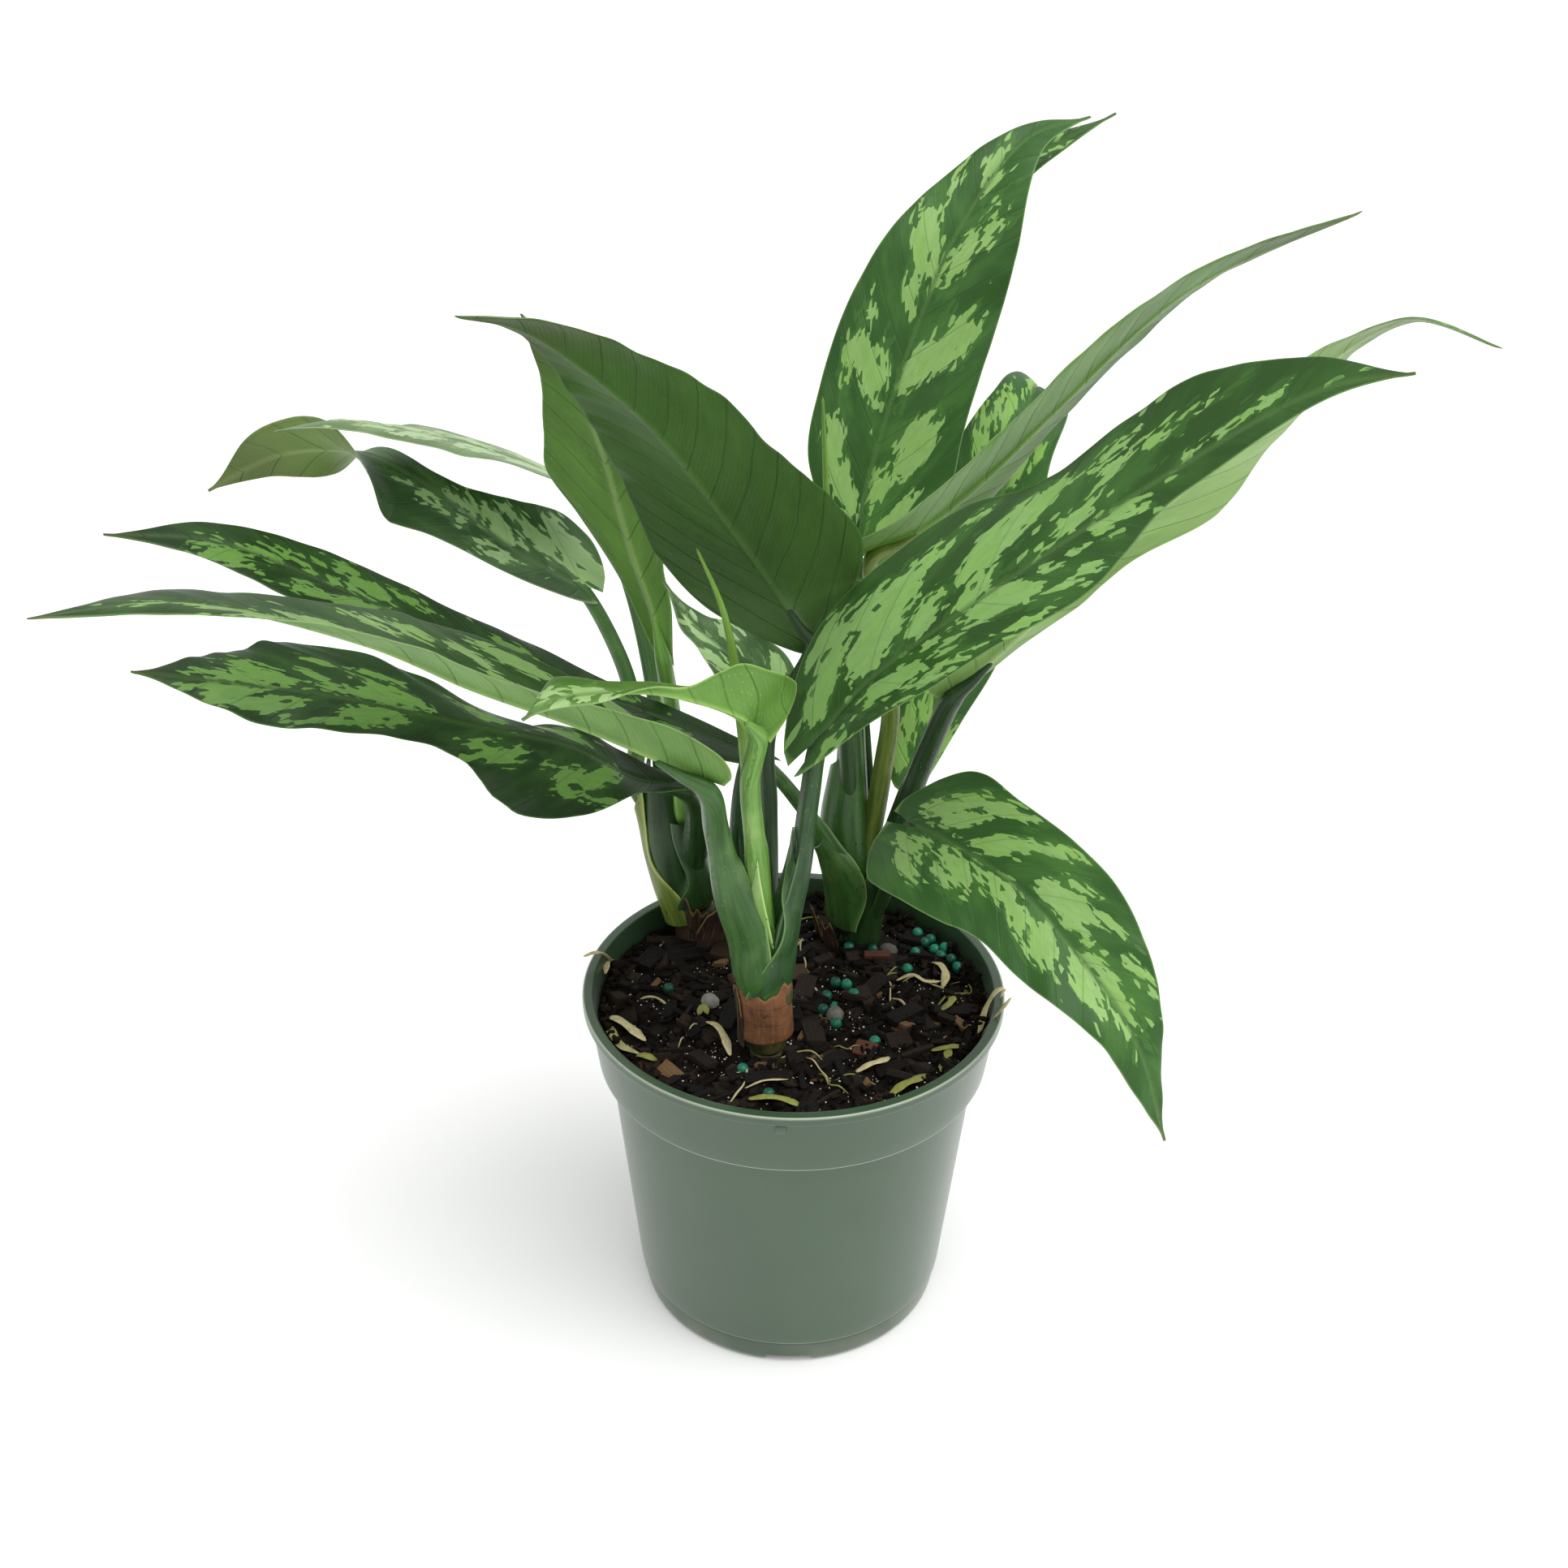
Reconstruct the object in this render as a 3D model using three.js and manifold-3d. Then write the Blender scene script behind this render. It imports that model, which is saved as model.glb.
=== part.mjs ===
// Potted Chinese evergreen: a nursery pot of potting soil with three leafy canes.
// Millimetres, +Z up. The origin is the middle of the pot's underside, and the front faces -Y.

import * as THREE from "three";
import { mergeVertices } from "three/addons/utils/BufferGeometryUtils.js";
import Module from "manifold-3d";

const wasm = await Module();
wasm.setup();

// Pot
const POT_HEIGHT = 98;
const POT_SIDES = 32;
const LIP_RADIUS = 57;
const LIP_HEIGHT = 3;
const BAND_TOP_RADIUS = 55.4;
const BAND_RADIUS = 53.2;
const BAND_BOTTOM = 77.6;
const BODY_TOP_RADIUS = 50.3;
const BASE_RADIUS = 42.6;
const BASE_CORNER = 4;
const POT_WALL = 1.3;
const POT_EDGE = 0.6;
const STEP_SLOPE = 1;
const DRAIN_SLOTS = 4;
const DRAIN_SLOT = { width: 13, depth: 9, height: 2.6 };
const SLOT_BELOW = 0.01;

// Soil
const SOIL_LEVEL = 89;
const SOIL_MOUND = 3.5;
const SOIL_LUMP = 0.9;
const LUMP_WAVES = [0.31, 0.27, 0.4, 0.55];
const SMALL_LUMP_SHARE = 0.6;
const SOIL_RINGS = 9;
const SOIL_SIDES = 36;
const CLEARANCE = 0.3;
const SOIL_INSET = 1.8;

// Canes: points up the middle, and the radius at even steps along them
const CANES = {
  front: {
    points: [[-7, -21, 74], [-7, -21, 92], [-7, -21, 106], [-8, -21, 120]],
    radii: [5.9, 6.3, 6.9, 7],
  },
  left: {
    points: [[-25, 33, 74], [-27, 35, 91], [-31, 36, 108], [-35, 36, 132]],
    radii: [6, 6.3, 5.6, 4.6],
  },
  right: {
    points: [[18, 33, 74], [18, 33, 91], [17, 33, 102], [17, 33, 114]],
    radii: [5.8, 6, 6.2, 6.2],
  },
};
const CANE_SIDES = 12;
const CANE_STEPS = 6;

// Rolled young leaves: points up the middle to the tip, and the radius at even steps
const SPEARS = {
  spear_right: {
    cane: "right",
    points: [[16, 34, 106], [15, 31, 134], [11, 22, 190], [7, 20, 224], [5, 20, 256]],
    radii: [2.6, 2.4, 1.7, 1.2, 0.3],
  },
  spear_front: {
    cane: "front",
    points: [[-8, -20, 112], [-10, -28, 156], [-13, -33, 194], [-17, -36, 224], [-23, -36, 240]],
    radii: [2.2, 2, 1.8, 1.3, 0.3],
  },
};
const SPEAR_SIDES = 7;
const SPEAR_STEPS = 8;

// Loose bits in the soil, each at its [x, y]
const GRAINS = [
  [-35, 6], [-13, -28], [-7, -39], [22, -14], [11, -8], [8, -2], [11, 3], [15, 9], [18, 4], [16, 27],
  [26, 27], [34, 23], [38, 28], [42, 25], [39, 20], [45, 22], [30, 16], [48, 34],
];
const GRAIN_RADIUS = 1.6;
const PEBBLES = [[30, 28], [-23, 1], [-40, -16]];
const PEBBLE_RADIUS = 2.6;
const CHIPS = 18;
const CHIP = { length: 9, width: 4.5, thickness: 1.6 };
const CHIP_SIZES = [0.6, 1.3];
const CHIP_SEED = 7;
const CHIP_SPREAD = 46;
const CHIP_TILT = 0.35;
const SUNK = 0.3;

// Leaf build
const BLADE_STEPS = 14;
const EVEN_SHARE = 0.45;
const BLADE_CELLS = 3;
const BLADE_THICKNESS = 0.8;
const BLADE_BASE_HALF_WIDTH = 1.7;
const BLADE_TIP_HALF_WIDTH = 0.4;
const LOBE_SHARE = 0.07;
const ROUNDED_SHARE = 0.06;
const KEEL_DEPTH = 1.4;
const PETIOLE_END = 0.06;
const PETIOLE_SIDES = 8;
const PETIOLE_STEPS = 8;

// Leaves. The petiole runs from its cane to the first point of the rib, and the rib from there to the tip.
// The face is the way that the upper side looks. The widths of the left and the right half of the blade and
// the folds, the angles in degrees by which each half is raised at the rib, are given at even steps from
// base to tip as well. Curl is how far the left and the right half turn down again towards their edge, and
// back is how far the base lobes reach behind the joint with the petiole.
const LEAVES = [
  {
    name: "leaf_upright",
    cane: "right",
    petiole: [[16, 33, 108], [16, 34, 122], [15, 35, 152], [15, 37, 184]],
    radii: [5.6, 4.4, 2.6, 2.2, 1.9],
    rib: [[15, 40, 214], [20, 47, 234], [29, 57, 261], [39, 65, 284], [56, 78, 304], [74, 90, 308]],
    face: [[0.1, -0.9, 0.4], [0, -0.9, 0.4], [-0.3, -0.8, 0.6]],
    leftWidth: [7, 17, 19, 19, 17, 13, 8, 3, 0],
    rightWidth: [7, 17, 18, 19, 19, 16, 10, 4, 0],
    leftFold: [10, 8, 20],
    rightFold: [10, 12, 30],
    curl: [20, 20],
    wave: { height: 1.2, count: 2, phase: 0.3 },
    back: 4,
  },
  {
    name: "leaf_upright_rear",
    cane: "right",
    petiole: [[17, 35, 108], [20, 37, 129], [19, 40, 145], [16, 50, 170]],
    radii: [2.8, 2.2, 1.9, 1.7],
    rib: [[9, 62, 196], [16, 70, 223], [25, 78, 250], [38, 86, 276], [57, 96, 294], [83, 106, 306]],
    face: [[0.1, -0.9, 0.4], [0, -0.9, 0.4], [-0.3, -0.8, 0.6]],
    leftWidth: [6, 10, 12, 12, 11, 9, 6, 3, 0],
    rightWidth: [6, 9, 10, 10, 10, 8, 5, 3, 0],
    leftFold: [10, 8, 20],
    rightFold: [10, 10, 20],
    curl: [20, 20],
    wave: { height: 1, count: 2, phase: 0.8 },
    back: 4,
  },
  {
    name: "leaf_front_right",
    cane: "front",
    petiole: [[-5, -21, 116], [-3, -23, 132], [1, -27, 154], [3, -29, 174]],
    radii: [5.6, 4.2, 3.2, 2.7, 2.2],
    rib: [[4, -30, 188], [15, -33, 205], [37, -40, 228], [59, -45, 248], [74, -48, 261], [103, -57, 284],
      [119, -62, 289]],
    face: [[-0.6, -0.4, 0.6], [-0.6, -0.4, 0.6], [-0.5, -0.3, 0.8]],
    leftWidth: [10, 19, 23, 26, 20, 19, 17, 9, 0],
    rightWidth: [4, 11, 15, 14, 13, 6, 5, 3, 0],
    leftFold: [30, 14, 10, 15],
    rightFold: [12, 5, -25],
    curl: [15, 15],
    wave: { height: 3.5, count: 1.5, phase: 0.08 },
    back: 10,
  },
  {
    name: "leaf_long_left",
    cane: "front",
    petiole: [[-9, -22, 117], [-11, -24, 130], [-16, -31, 149], [-19, -38, 169]],
    radii: [7, 5.6, 3.4, 2.8, 2.3],
    rib: [[-21, -45, 186], [-31, -49, 194], [-50, -58, 208], [-69, -66, 220], [-89, -74, 234],
      [-122, -84, 247], [-149, -92, 247]],
    face: [[0.3, 0.1, 0.9], [0.3, 0.1, 0.9], [0.2, 0.1, 0.9]],
    leftWidth: [11, 13, 10, 11, 9, 8, 7, 5, 0],
    rightWidth: [8, 12, 18, 24, 20, 13, 12, 8, 0],
    leftFold: [60, 60, 50, 20, 0],
    rightFold: [20, 20, 12, 0, 0],
    curl: [20, 10],
    wave: { height: 1, count: 2, phase: 0 },
    back: 4,
  },
  {
    name: "leaf_young",
    cane: "front",
    petiole: [[-8, -21, 118], [-9, -26, 139], [-10, -33, 162], [-11, -40, 184]],
    radii: [4.6, 3.2, 2.6, 2.4, 2.1],
    rib: [[-10.5, -45, 199], [-13, -49, 204.5], [-22, -56, 212], [-32, -62, 217.5], [-42, -71, 221.5],
      [-50, -79, 224], [-56, -86, 223]],
    face: [[0.2, 0.3, 0.9], [0.2, 0.3, 0.9], [0.1, -0.2, 0.9], [-0.1, -0.7, 0.7]],
    leftWidth: [17, 13, 11, 3, 3, 3, 3, 2, 0],
    rightWidth: [6, 6, 5, 3, 3, 5, 9, 4, 0],
    leftFold: [85, 80, 60, 20, 0],
    rightFold: [60, 60, 30, 0, 0],
    curl: [20, 20],
    wave: { height: 1, count: 1, phase: 0 },
    back: 9,
  },
  {
    name: "leaf_front_left",
    cane: "front",
    petiole: [[-8, -19, 120], [-7, -15, 137], [-7, -12, 159], [-7, -10, 181]],
    radii: [2.8, 2.3, 2, 1.8],
    rib: [[3, -8, 204], [-4, -13, 218], [-17, -26, 243], [-31, -40, 268], [-44, -53, 285], [-55, -63, 296],
      [-66, -72, 301]],
    face: [[0.1, 0.9, 0.4], [0.35, 0.8, 0.5], [0.3, 0.6, 0.7]],
    leftWidth: [4, 19, 28, 29, 24, 22, 18, 10, 0],
    rightWidth: [8, 21, 25, 23, 20, 15, 9, 4, 0],
    leftFold: [10, 10, 15],
    rightFold: [10, 10, 15],
    curl: [15, 15],
    wave: { height: 1, count: 1.5, phase: 0.3 },
    back: 4,
  },
  {
    name: "leaf_right_under",
    cane: "right",
    petiole: [[20, 32, 98], [24, 31, 112], [29, 28, 133], [35, 24, 157]],
    radii: [4, 3.4, 3, 2.8, 2.2],
    rib: [[40, 20, 177], [52, 12, 194], [79, -2, 232], [109, -10, 265], [120, -12, 279], [132, -15, 286],
      [150, -22, 282]],
    face: [[-0.15, 0.8, 0.5], [-0.15, 0.8, 0.5], [-0.1, 0.2, 0.9]],
    leftWidth: [3, 5, 8, 8, 17, 13, 8, 5, 0],
    rightWidth: [10, 18, 20, 20, 18, 15, 10, 5, 0],
    leftFold: [10, 10, 15],
    rightFold: [10, 10, 15],
    curl: [15, 15],
    wave: { height: 1.5, count: 2, phase: 0 },
    back: 4,
  },
  {
    name: "leaf_right_narrow",
    cane: "right",
    petiole: [[18, 33, 108], [22, 32, 132], [24, 29, 151], [25, 24, 168], [22, 14, 196]],
    radii: [3, 2.5, 2.2, 2, 1.8],
    rib: [[17, 5, 222], [29, 4, 229], [44, 3, 243], [58, 2, 259], [86, -2, 289], [120, -6, 307]],
    face: [[-0.5, 0.54, 0.69], [-0.5, 0.54, 0.69], [-0.4, 0.6, 0.7]],
    leftWidth: [6, 9, 9, 9, 9, 8, 5, 2, 0],
    rightWidth: [6, 16, 15, 15, 16, 14, 10, 6, 0],
    leftFold: [25, 25, 25],
    rightFold: [7, 7, 7],
    curl: [10, 10],
    wave: { height: 0.6, count: 1, phase: 0 },
    back: 2,
  },
  {
    name: "leaf_right_inner",
    cane: "right",
    petiole: [[19, 34, 104], [28, 38, 120], [32, 40, 130]],
    radii: [3, 2.4, 2, 1.8],
    rib: [[33, 42, 140], [38, 46, 157], [45, 52, 179], [54, 62, 211], [61, 74, 234], [65, 88, 237],
      [72, 102, 217]],
    face: [[0.1, -0.9, 0.3], [0, -0.9, 0.3], [0.2, -0.1, 0.9]],
    leftWidth: [8, 12, 16, 18, 18, 16, 10, 6, 0],
    rightWidth: [4, 8, 12, 13, 12, 10, 11, 8, 0],
    leftFold: [12, 12, 10],
    rightFold: [12, 12, 10],
    curl: [15, 15],
    wave: { height: 1, count: 1.5, phase: 0.5 },
    back: 6,
  },
  {
    name: "leaf_right_drooping",
    cane: "right",
    petiole: [[20, 32, 96], [24, 27, 108], [27, 15, 128]],
    radii: [3, 2.4, 2, 1.9],
    rib: [[29, 5, 146], [38, -8, 149], [54, -26, 147], [65, -38, 140], [78, -50, 127], [84, -55, 117],
      [91, -60, 95]],
    face: [[-0.5, -0.4, 0.77], [-0.4, -0.5, 0.75], [0.4, -0.6, 0.5]],
    leftWidth: [10, 19, 18, 18, 18, 14, 8, 3, 0],
    rightWidth: [18, 20, 19, 16, 15, 12, 8, 5, 0],
    leftFold: [12, 12, 15],
    rightFold: [12, 12, 15],
    curl: [10, 10],
    wave: { height: 2, count: 2, phase: 0 },
    back: 7,
  },
  {
    name: "leaf_lower_left",
    cane: "left",
    petiole: [[-31, 35, 108], [-28, 30, 122], [-27, 20, 141]],
    radii: [4.4, 3.6, 2.6, 2.1],
    rib: [[-29, 10, 154], [-40, 2, 160], [-56, -12, 177], [-74, -24, 188], [-104, -40, 204], [-123, -48, 211],
      [-145, -54, 217]],
    face: [[0.2, -0.3, 0.9], [0.2, -0.3, 0.9], [0.2, -0.2, 0.9]],
    leftWidth: [2, 6, 17, 19, 8, 9, 11, 7, 0],
    rightWidth: [3, 7, 10, 12, 16, 19, 23, 14, 0],
    leftFold: [10, -20, -25, 0, 0],
    rightFold: [10, -10, -10, 0],
    curl: [10, 10],
    wave: { height: 3, count: 2, phase: 0 },
    back: 2,
  },
  {
    name: "leaf_upper_left",
    cane: "right",
    petiole: [[16, 33, 101], [15, 30, 114], [9, 22, 129], [1, 12, 148]],
    radii: [4.6, 3.6, 2.3, 2, 1.8],
    rib: [[-8, 6, 164], [-28, 11, 170], [-59, 15, 180], [-87, 15, 193], [-113, 10, 208], [-139, 1, 224],
      [-162, -11, 231]],
    face: [[0.2, -0.1, 0.9], [0.2, -0.1, 0.9], [0.2, -0.4, 0.9]],
    leftWidth: [5, 13, 15, 15, 11, 11, 12, 6, 0],
    rightWidth: [3, 5, 7, 12, 11, 11, 10, 6, 0],
    leftFold: [10, 10, 10],
    rightFold: [10, 10, 10],
    curl: [10, 10],
    wave: { height: 1, count: 2, phase: 0 },
    back: 4,
  },
  {
    name: "leaf_rear_left_twisted",
    cane: "left",
    petiole: [[-35, 36, 126], [-44, 38, 137], [-44, 41, 152], [-47, 45, 170]],
    radii: [2.8, 2.4, 2.2, 2, 1.8],
    rib: [[-58, 48, 193], [-76, 46, 205], [-95, 42, 223], [-112, 38, 234], [-131, 36, 234], [-150, 33, 225]],
    face: [[0.3, -0.5, 0.8], [0.2, -0.7, 0.7], [0.2, -0.7, 0.7], [0, 0.8, 0.6], [0, 0.9, -0.2]],
    leftWidth: [4, 6, 8, 11, 15, 17, 11, 6, 0],
    rightWidth: [13, 17, 12, 6, 6, 12, 9, 4, 0],
    leftFold: [-30, -20, 0, 10],
    rightFold: [10, 0, -20, -10, 10],
    curl: [-30, 10],
    wave: { height: 1, count: 1, phase: 0 },
    back: 6,
  },
  {
    name: "leaf_rear_left_arching",
    cane: "left",
    petiole: [[-35, 37, 124], [-37, 41, 140], [-39, 46, 162], [-45, 50, 192]],
    radii: [3, 2.4, 2.2, 2, 1.8],
    rib: [[-53, 50, 218], [-66, 47, 226], [-84, 41, 235], [-98, 30, 242.5], [-112, 20, 248],
      [-126, 13, 248]],
    face: [[0.35, 0.3, 0.85], [0.35, 0.3, 0.85], [0.2, 0.3, 0.85]],
    leftWidth: [6, 12, 13, 14, 13, 10, 8, 4, 0],
    rightWidth: [6, 12, 13, 14, 13, 10, 8, 4, 0],
    leftFold: [0, 0, 0],
    rightFold: [5, 5, 5],
    curl: [10, 10],
    wave: { height: 1, count: 1, phase: 0 },
    back: 2,
  },
  {
    name: "leaf_rear_upright",
    cane: "left",
    petiole: [[-32, 36, 112], [-31, 33, 132], [-33, 26, 165]],
    radii: [3, 2.4, 2.4, 2],
    rib: [[-34, 16, 189], [-37, 17, 202], [-41, 16, 216], [-48, 10, 248], [-53, 4, 266], [-63, -4, 282]],
    face: [[0.3, 0.8, 0.3], [0.3, 0.8, 0.3], [0.3, 0.7, 0.5]],
    leftWidth: [2, 5, 7, 14, 18, 16, 12, 6, 0],
    rightWidth: [3, 6, 9, 14, 19, 15, 11, 7, 0],
    leftFold: [10, 10, 10],
    rightFold: [10, 10, 10],
    curl: [10, 10],
    wave: { height: 1, count: 1, phase: 0 },
    back: 4,
  },
  {
    name: "leaf_middle",
    cane: "front",
    petiole: [[-9, -18, 119], [-13, -12, 135], [-15, -9, 150], [-13, -5, 168]],
    radii: [2.4, 2, 1.8, 1.6],
    rib: [[-7, -2, 180], [-12, 2, 189], [-18, 5, 195], [-25, 8, 200], [-34, 14, 210]],
    face: [[0.2, -0.6, 0.8], [0.2, -0.6, 0.8], [0.2, -0.6, 0.8]],
    leftWidth: [4, 10, 10, 9, 7, 5, 3, 1, 0],
    rightWidth: [4, 10, 11, 9, 7, 5, 3, 1, 0],
    leftFold: [20, 20, 20],
    rightFold: [20, 20, 20],
    curl: [10, 10],
    wave: { height: 1, count: 1, phase: 0 },
    back: 3,
  },
];

// A point [x, y, z] as a vector
function point(p) {
  return new THREE.Vector3(p[0], p[1], p[2]);
}

// The value at s, from 0 to 1, of a list whose values lie at even steps
function along(values, s) {
  const place = s * (values.length - 1);
  const i = Math.min(Math.floor(place), values.length - 2);
  return values[i] + (values[i + 1] - values[i]) * (place - i);
}

// A closed body through rings of points. Each ring goes round the body the same way, and the triangles on
// its two sides are split alike, so that a thin blade's faces never cross.
function loft(rings) {
  const n = rings[0].length;
  const positions = rings.flat().flatMap((p) => [p.x, p.y, p.z]);
  const index = [];
  for (let i = 0; i + 1 < rings.length; i++) {
    for (let j = 0; j < n; j++) {
      const a = i * n + j;
      const b = i * n + ((j + 1) % n);
      const c = b + n;
      const d = a + n;
      if (j < n / 2) index.push(a, b, c, a, c, d);
      else index.push(a, b, d, b, c, d);
    }
  }
  const last = (rings.length - 1) * n;
  for (let j = 0; j + 1 < n / 2; j++) {
    const k = n - 1 - j;
    index.push(j, k, k - 1, j, k - 1, j + 1);
    index.push(last + j, last + k - 1, last + k, last + j, last + j + 1, last + k - 1);
  }
  const geometry = new THREE.BufferGeometry();
  geometry.setAttribute("position", new THREE.Float32BufferAttribute(positions, 3));
  geometry.setIndex(index);
  return geometry;
}

// A closed geometry as a solid to join or cut
function toSolid(geometry) {
  const bare = geometry.clone();
  bare.deleteAttribute("normal");
  bare.deleteAttribute("uv");
  const merged = mergeVertices(bare, 1e-4);
  const vertProperties = new Float32Array(merged.attributes.position.array);
  const triVerts = new Uint32Array(merged.index.array);
  return new wasm.Manifold(new wasm.Mesh({ numProp: 3, vertProperties, triVerts }));
}

// A solid as a geometry to draw
function toGeometry(solid) {
  const mesh = solid.getMesh();
  const geometry = new THREE.BufferGeometry();
  geometry.setAttribute("position", new THREE.BufferAttribute(mesh.vertProperties, 3));
  geometry.setIndex(new THREE.BufferAttribute(mesh.triVerts, 1));
  geometry.computeVertexNormals();
  return geometry;
}

// A round stalk along points, with its radius given at even steps and grown by extra
function stalk(points, radii, sides, steps, extra = 0) {
  const curve = new THREE.CatmullRomCurve3(points);
  const frames = curve.computeFrenetFrames(steps, false);
  const rings = [];
  for (let i = 0; i <= steps; i++) {
    const centre = curve.getPointAt(i / steps);
    const radius = along(radii, i / steps) + extra;
    const ring = [];
    for (let j = 0; j < sides; j++) {
      const angle = (2 * Math.PI * j) / sides;
      const out = frames.normals[i].clone().multiplyScalar(radius * Math.cos(angle));
      out.addScaledVector(frames.binormals[i], radius * Math.sin(angle));
      ring.push(centre.clone().add(out));
    }
    rings.push(ring);
  }
  return loft(rings);
}

// The value at s of a smooth line through values at even steps
function smoothAlong(values, s) {
  return new THREE.SplineCurve(values.map((value, i) => new THREE.Vector2(i, value))).getPoint(s).y;
}

// The width of one half of the blade at s along its rib, which is rounded at its base
function halfWidthAt(widths, s) {
  const narrowest = BLADE_BASE_HALF_WIDTH + (BLADE_TIP_HALF_WIDTH - BLADE_BASE_HALF_WIDTH) * s;
  const rounding = Math.sqrt(1 - (1 - Math.min(1, s / ROUNDED_SHARE)) ** 2);
  return narrowest + Math.max(0, smoothAlong(widths, s) - narrowest) * rounding;
}

// The way the upper side looks at s, square to the rib's direction there
function faceAt(leaf, s, tangent) {
  const faces = leaf.face.map(point);
  const place = s * (faces.length - 1);
  const i = Math.min(Math.floor(place), faces.length - 2);
  const face = faces[i].lerp(faces[i + 1], place - i);
  return face.addScaledVector(tangent, -face.dot(tangent)).normalize();
}

// A point of the blade's middle surface at s along the rib and v across it, from -1, the right edge, to 1,
// the left one, with the direction square to the surface there
function bladePoint(leaf, curve, s, v) {
  const tangent = curve.getTangentAt(s);
  const face = faceAt(leaf, s, tangent);
  const side = face.clone().cross(tangent).multiplyScalar(Math.sign(v) || 1);
  const half = v < 0 ? 1 : 0;
  const a = Math.abs(v);
  const halfWidth = halfWidthAt(half ? leaf.rightWidth : leaf.leftWidth, s);
  const fold = THREE.MathUtils.degToRad(along(half ? leaf.rightFold : leaf.leftFold, s));
  const curl = THREE.MathUtils.degToRad(leaf.curl[half]);
  const turned = fold - curl * a;
  const out = (halfWidth * (Math.sin(fold) - Math.sin(turned))) / curl;
  const up = (halfWidth * (Math.cos(turned) - Math.cos(fold))) / curl;
  const swing = Math.sin(2 * Math.PI * (leaf.wave.count * s + leaf.wave.phase * Math.sign(v)));
  const wave = leaf.wave.height * a * a * Math.sin(Math.PI * s) * swing;
  const back = leaf.back * a * a * Math.exp(-s / LOBE_SHARE);
  const normal = side.clone().multiplyScalar(-Math.sin(turned)).addScaledVector(face, Math.cos(turned));
  const place = curve.getPointAt(s).addScaledVector(side, out).addScaledVector(face, up);
  place.addScaledVector(normal, wave).addScaledVector(tangent, -back);
  return { place, normal };
}

// A leaf's blade, with a keel along the underside of its rib. Its stations lie closer at both ends.
function blade(leaf) {
  const curve = new THREE.CatmullRomCurve3(leaf.rib.map(point));
  const rings = [];
  for (let i = 0; i <= BLADE_STEPS; i++) {
    const even = i / BLADE_STEPS;
    const s = THREE.MathUtils.lerp(0.5 * (1 - Math.cos(Math.PI * even)), even, EVEN_SHARE);
    const upper = [];
    const lower = [];
    for (let j = BLADE_CELLS; j >= -BLADE_CELLS; j--) {
      const { place, normal } = bladePoint(leaf, curve, s, j / BLADE_CELLS);
      const keel = j === 0 ? KEEL_DEPTH * (1 - s) : 0;
      upper.push(place.clone().addScaledVector(normal, BLADE_THICKNESS / 2));
      lower.unshift(place.clone().addScaledVector(normal, -BLADE_THICKNESS / 2 - keel));
    }
    rings.push([...upper, ...lower]);
  }
  return loft(rings);
}

// A leaf's petiole, which ends a little way up the rib
function petiole(leaf, extra) {
  const rib = new THREE.CatmullRomCurve3(leaf.rib.map(point));
  const points = [...leaf.petiole.map(point), rib.getPointAt(0), rib.getPointAt(PETIOLE_END)];
  return stalk(points, leaf.radii, PETIOLE_SIDES, PETIOLE_STEPS, extra);
}

function cane(name, extra) {
  const { points, radii } = CANES[name];
  return stalk(points.map(point), radii, CANE_SIDES, CANE_STEPS, extra);
}

function spear(name, extra) {
  const { points, radii } = SPEARS[name];
  return stalk(points.map(point), radii, SPEAR_SIDES, SPEAR_STEPS, extra);
}

// The largest body of a solid, without the scraps that a cut left loose
function largest(solid) {
  return solid.decompose().sort((a, b) => b.volume() - a.volume())[0];
}

// Pot: the outside from the middle of the floor up to the lip, and the inside back down
function potProfile() {
  const outline = new THREE.Path();
  outline.moveTo(0, 0);
  outline.lineTo(BASE_RADIUS - BASE_CORNER, 0);
  outline.quadraticCurveTo(BASE_RADIUS, 0, BASE_RADIUS, BASE_CORNER);
  outline.lineTo(BODY_TOP_RADIUS, BAND_BOTTOM);
  outline.lineTo(BAND_RADIUS, BAND_BOTTOM + POT_EDGE);
  outline.lineTo(BAND_TOP_RADIUS, POT_HEIGHT - LIP_HEIGHT);
  outline.lineTo(LIP_RADIUS, POT_HEIGHT - LIP_HEIGHT + STEP_SLOPE);
  outline.lineTo(LIP_RADIUS, POT_HEIGHT - POT_EDGE);
  outline.lineTo(LIP_RADIUS - POT_EDGE, POT_HEIGHT);
  outline.lineTo(BAND_TOP_RADIUS - POT_WALL, POT_HEIGHT - POT_EDGE);
  outline.lineTo(BAND_RADIUS - POT_WALL, BAND_BOTTOM + STEP_SLOPE);
  outline.lineTo(BODY_TOP_RADIUS - POT_WALL, BAND_BOTTOM - STEP_SLOPE);
  outline.lineTo(BASE_RADIUS - POT_WALL, BASE_CORNER);
  outline.lineTo(BASE_RADIUS - BASE_CORNER, POT_WALL);
  outline.lineTo(0, POT_WALL);
  return outline.getPoints(2);
}

function pot() {
  let solid = toSolid(new THREE.LatheGeometry(potProfile(), POT_SIDES).rotateX(Math.PI / 2));
  for (let i = 0; i < DRAIN_SLOTS; i++) {
    const slot = new THREE.BoxGeometry(DRAIN_SLOT.width, DRAIN_SLOT.depth, DRAIN_SLOT.height);
    slot.translate(0, -BASE_RADIUS, DRAIN_SLOT.height / 2 - SLOT_BELOW);
    slot.rotateZ((2 * Math.PI * i) / DRAIN_SLOTS);
    solid = solid.subtract(toSolid(slot));
  }
  return toGeometry(solid);
}

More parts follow.
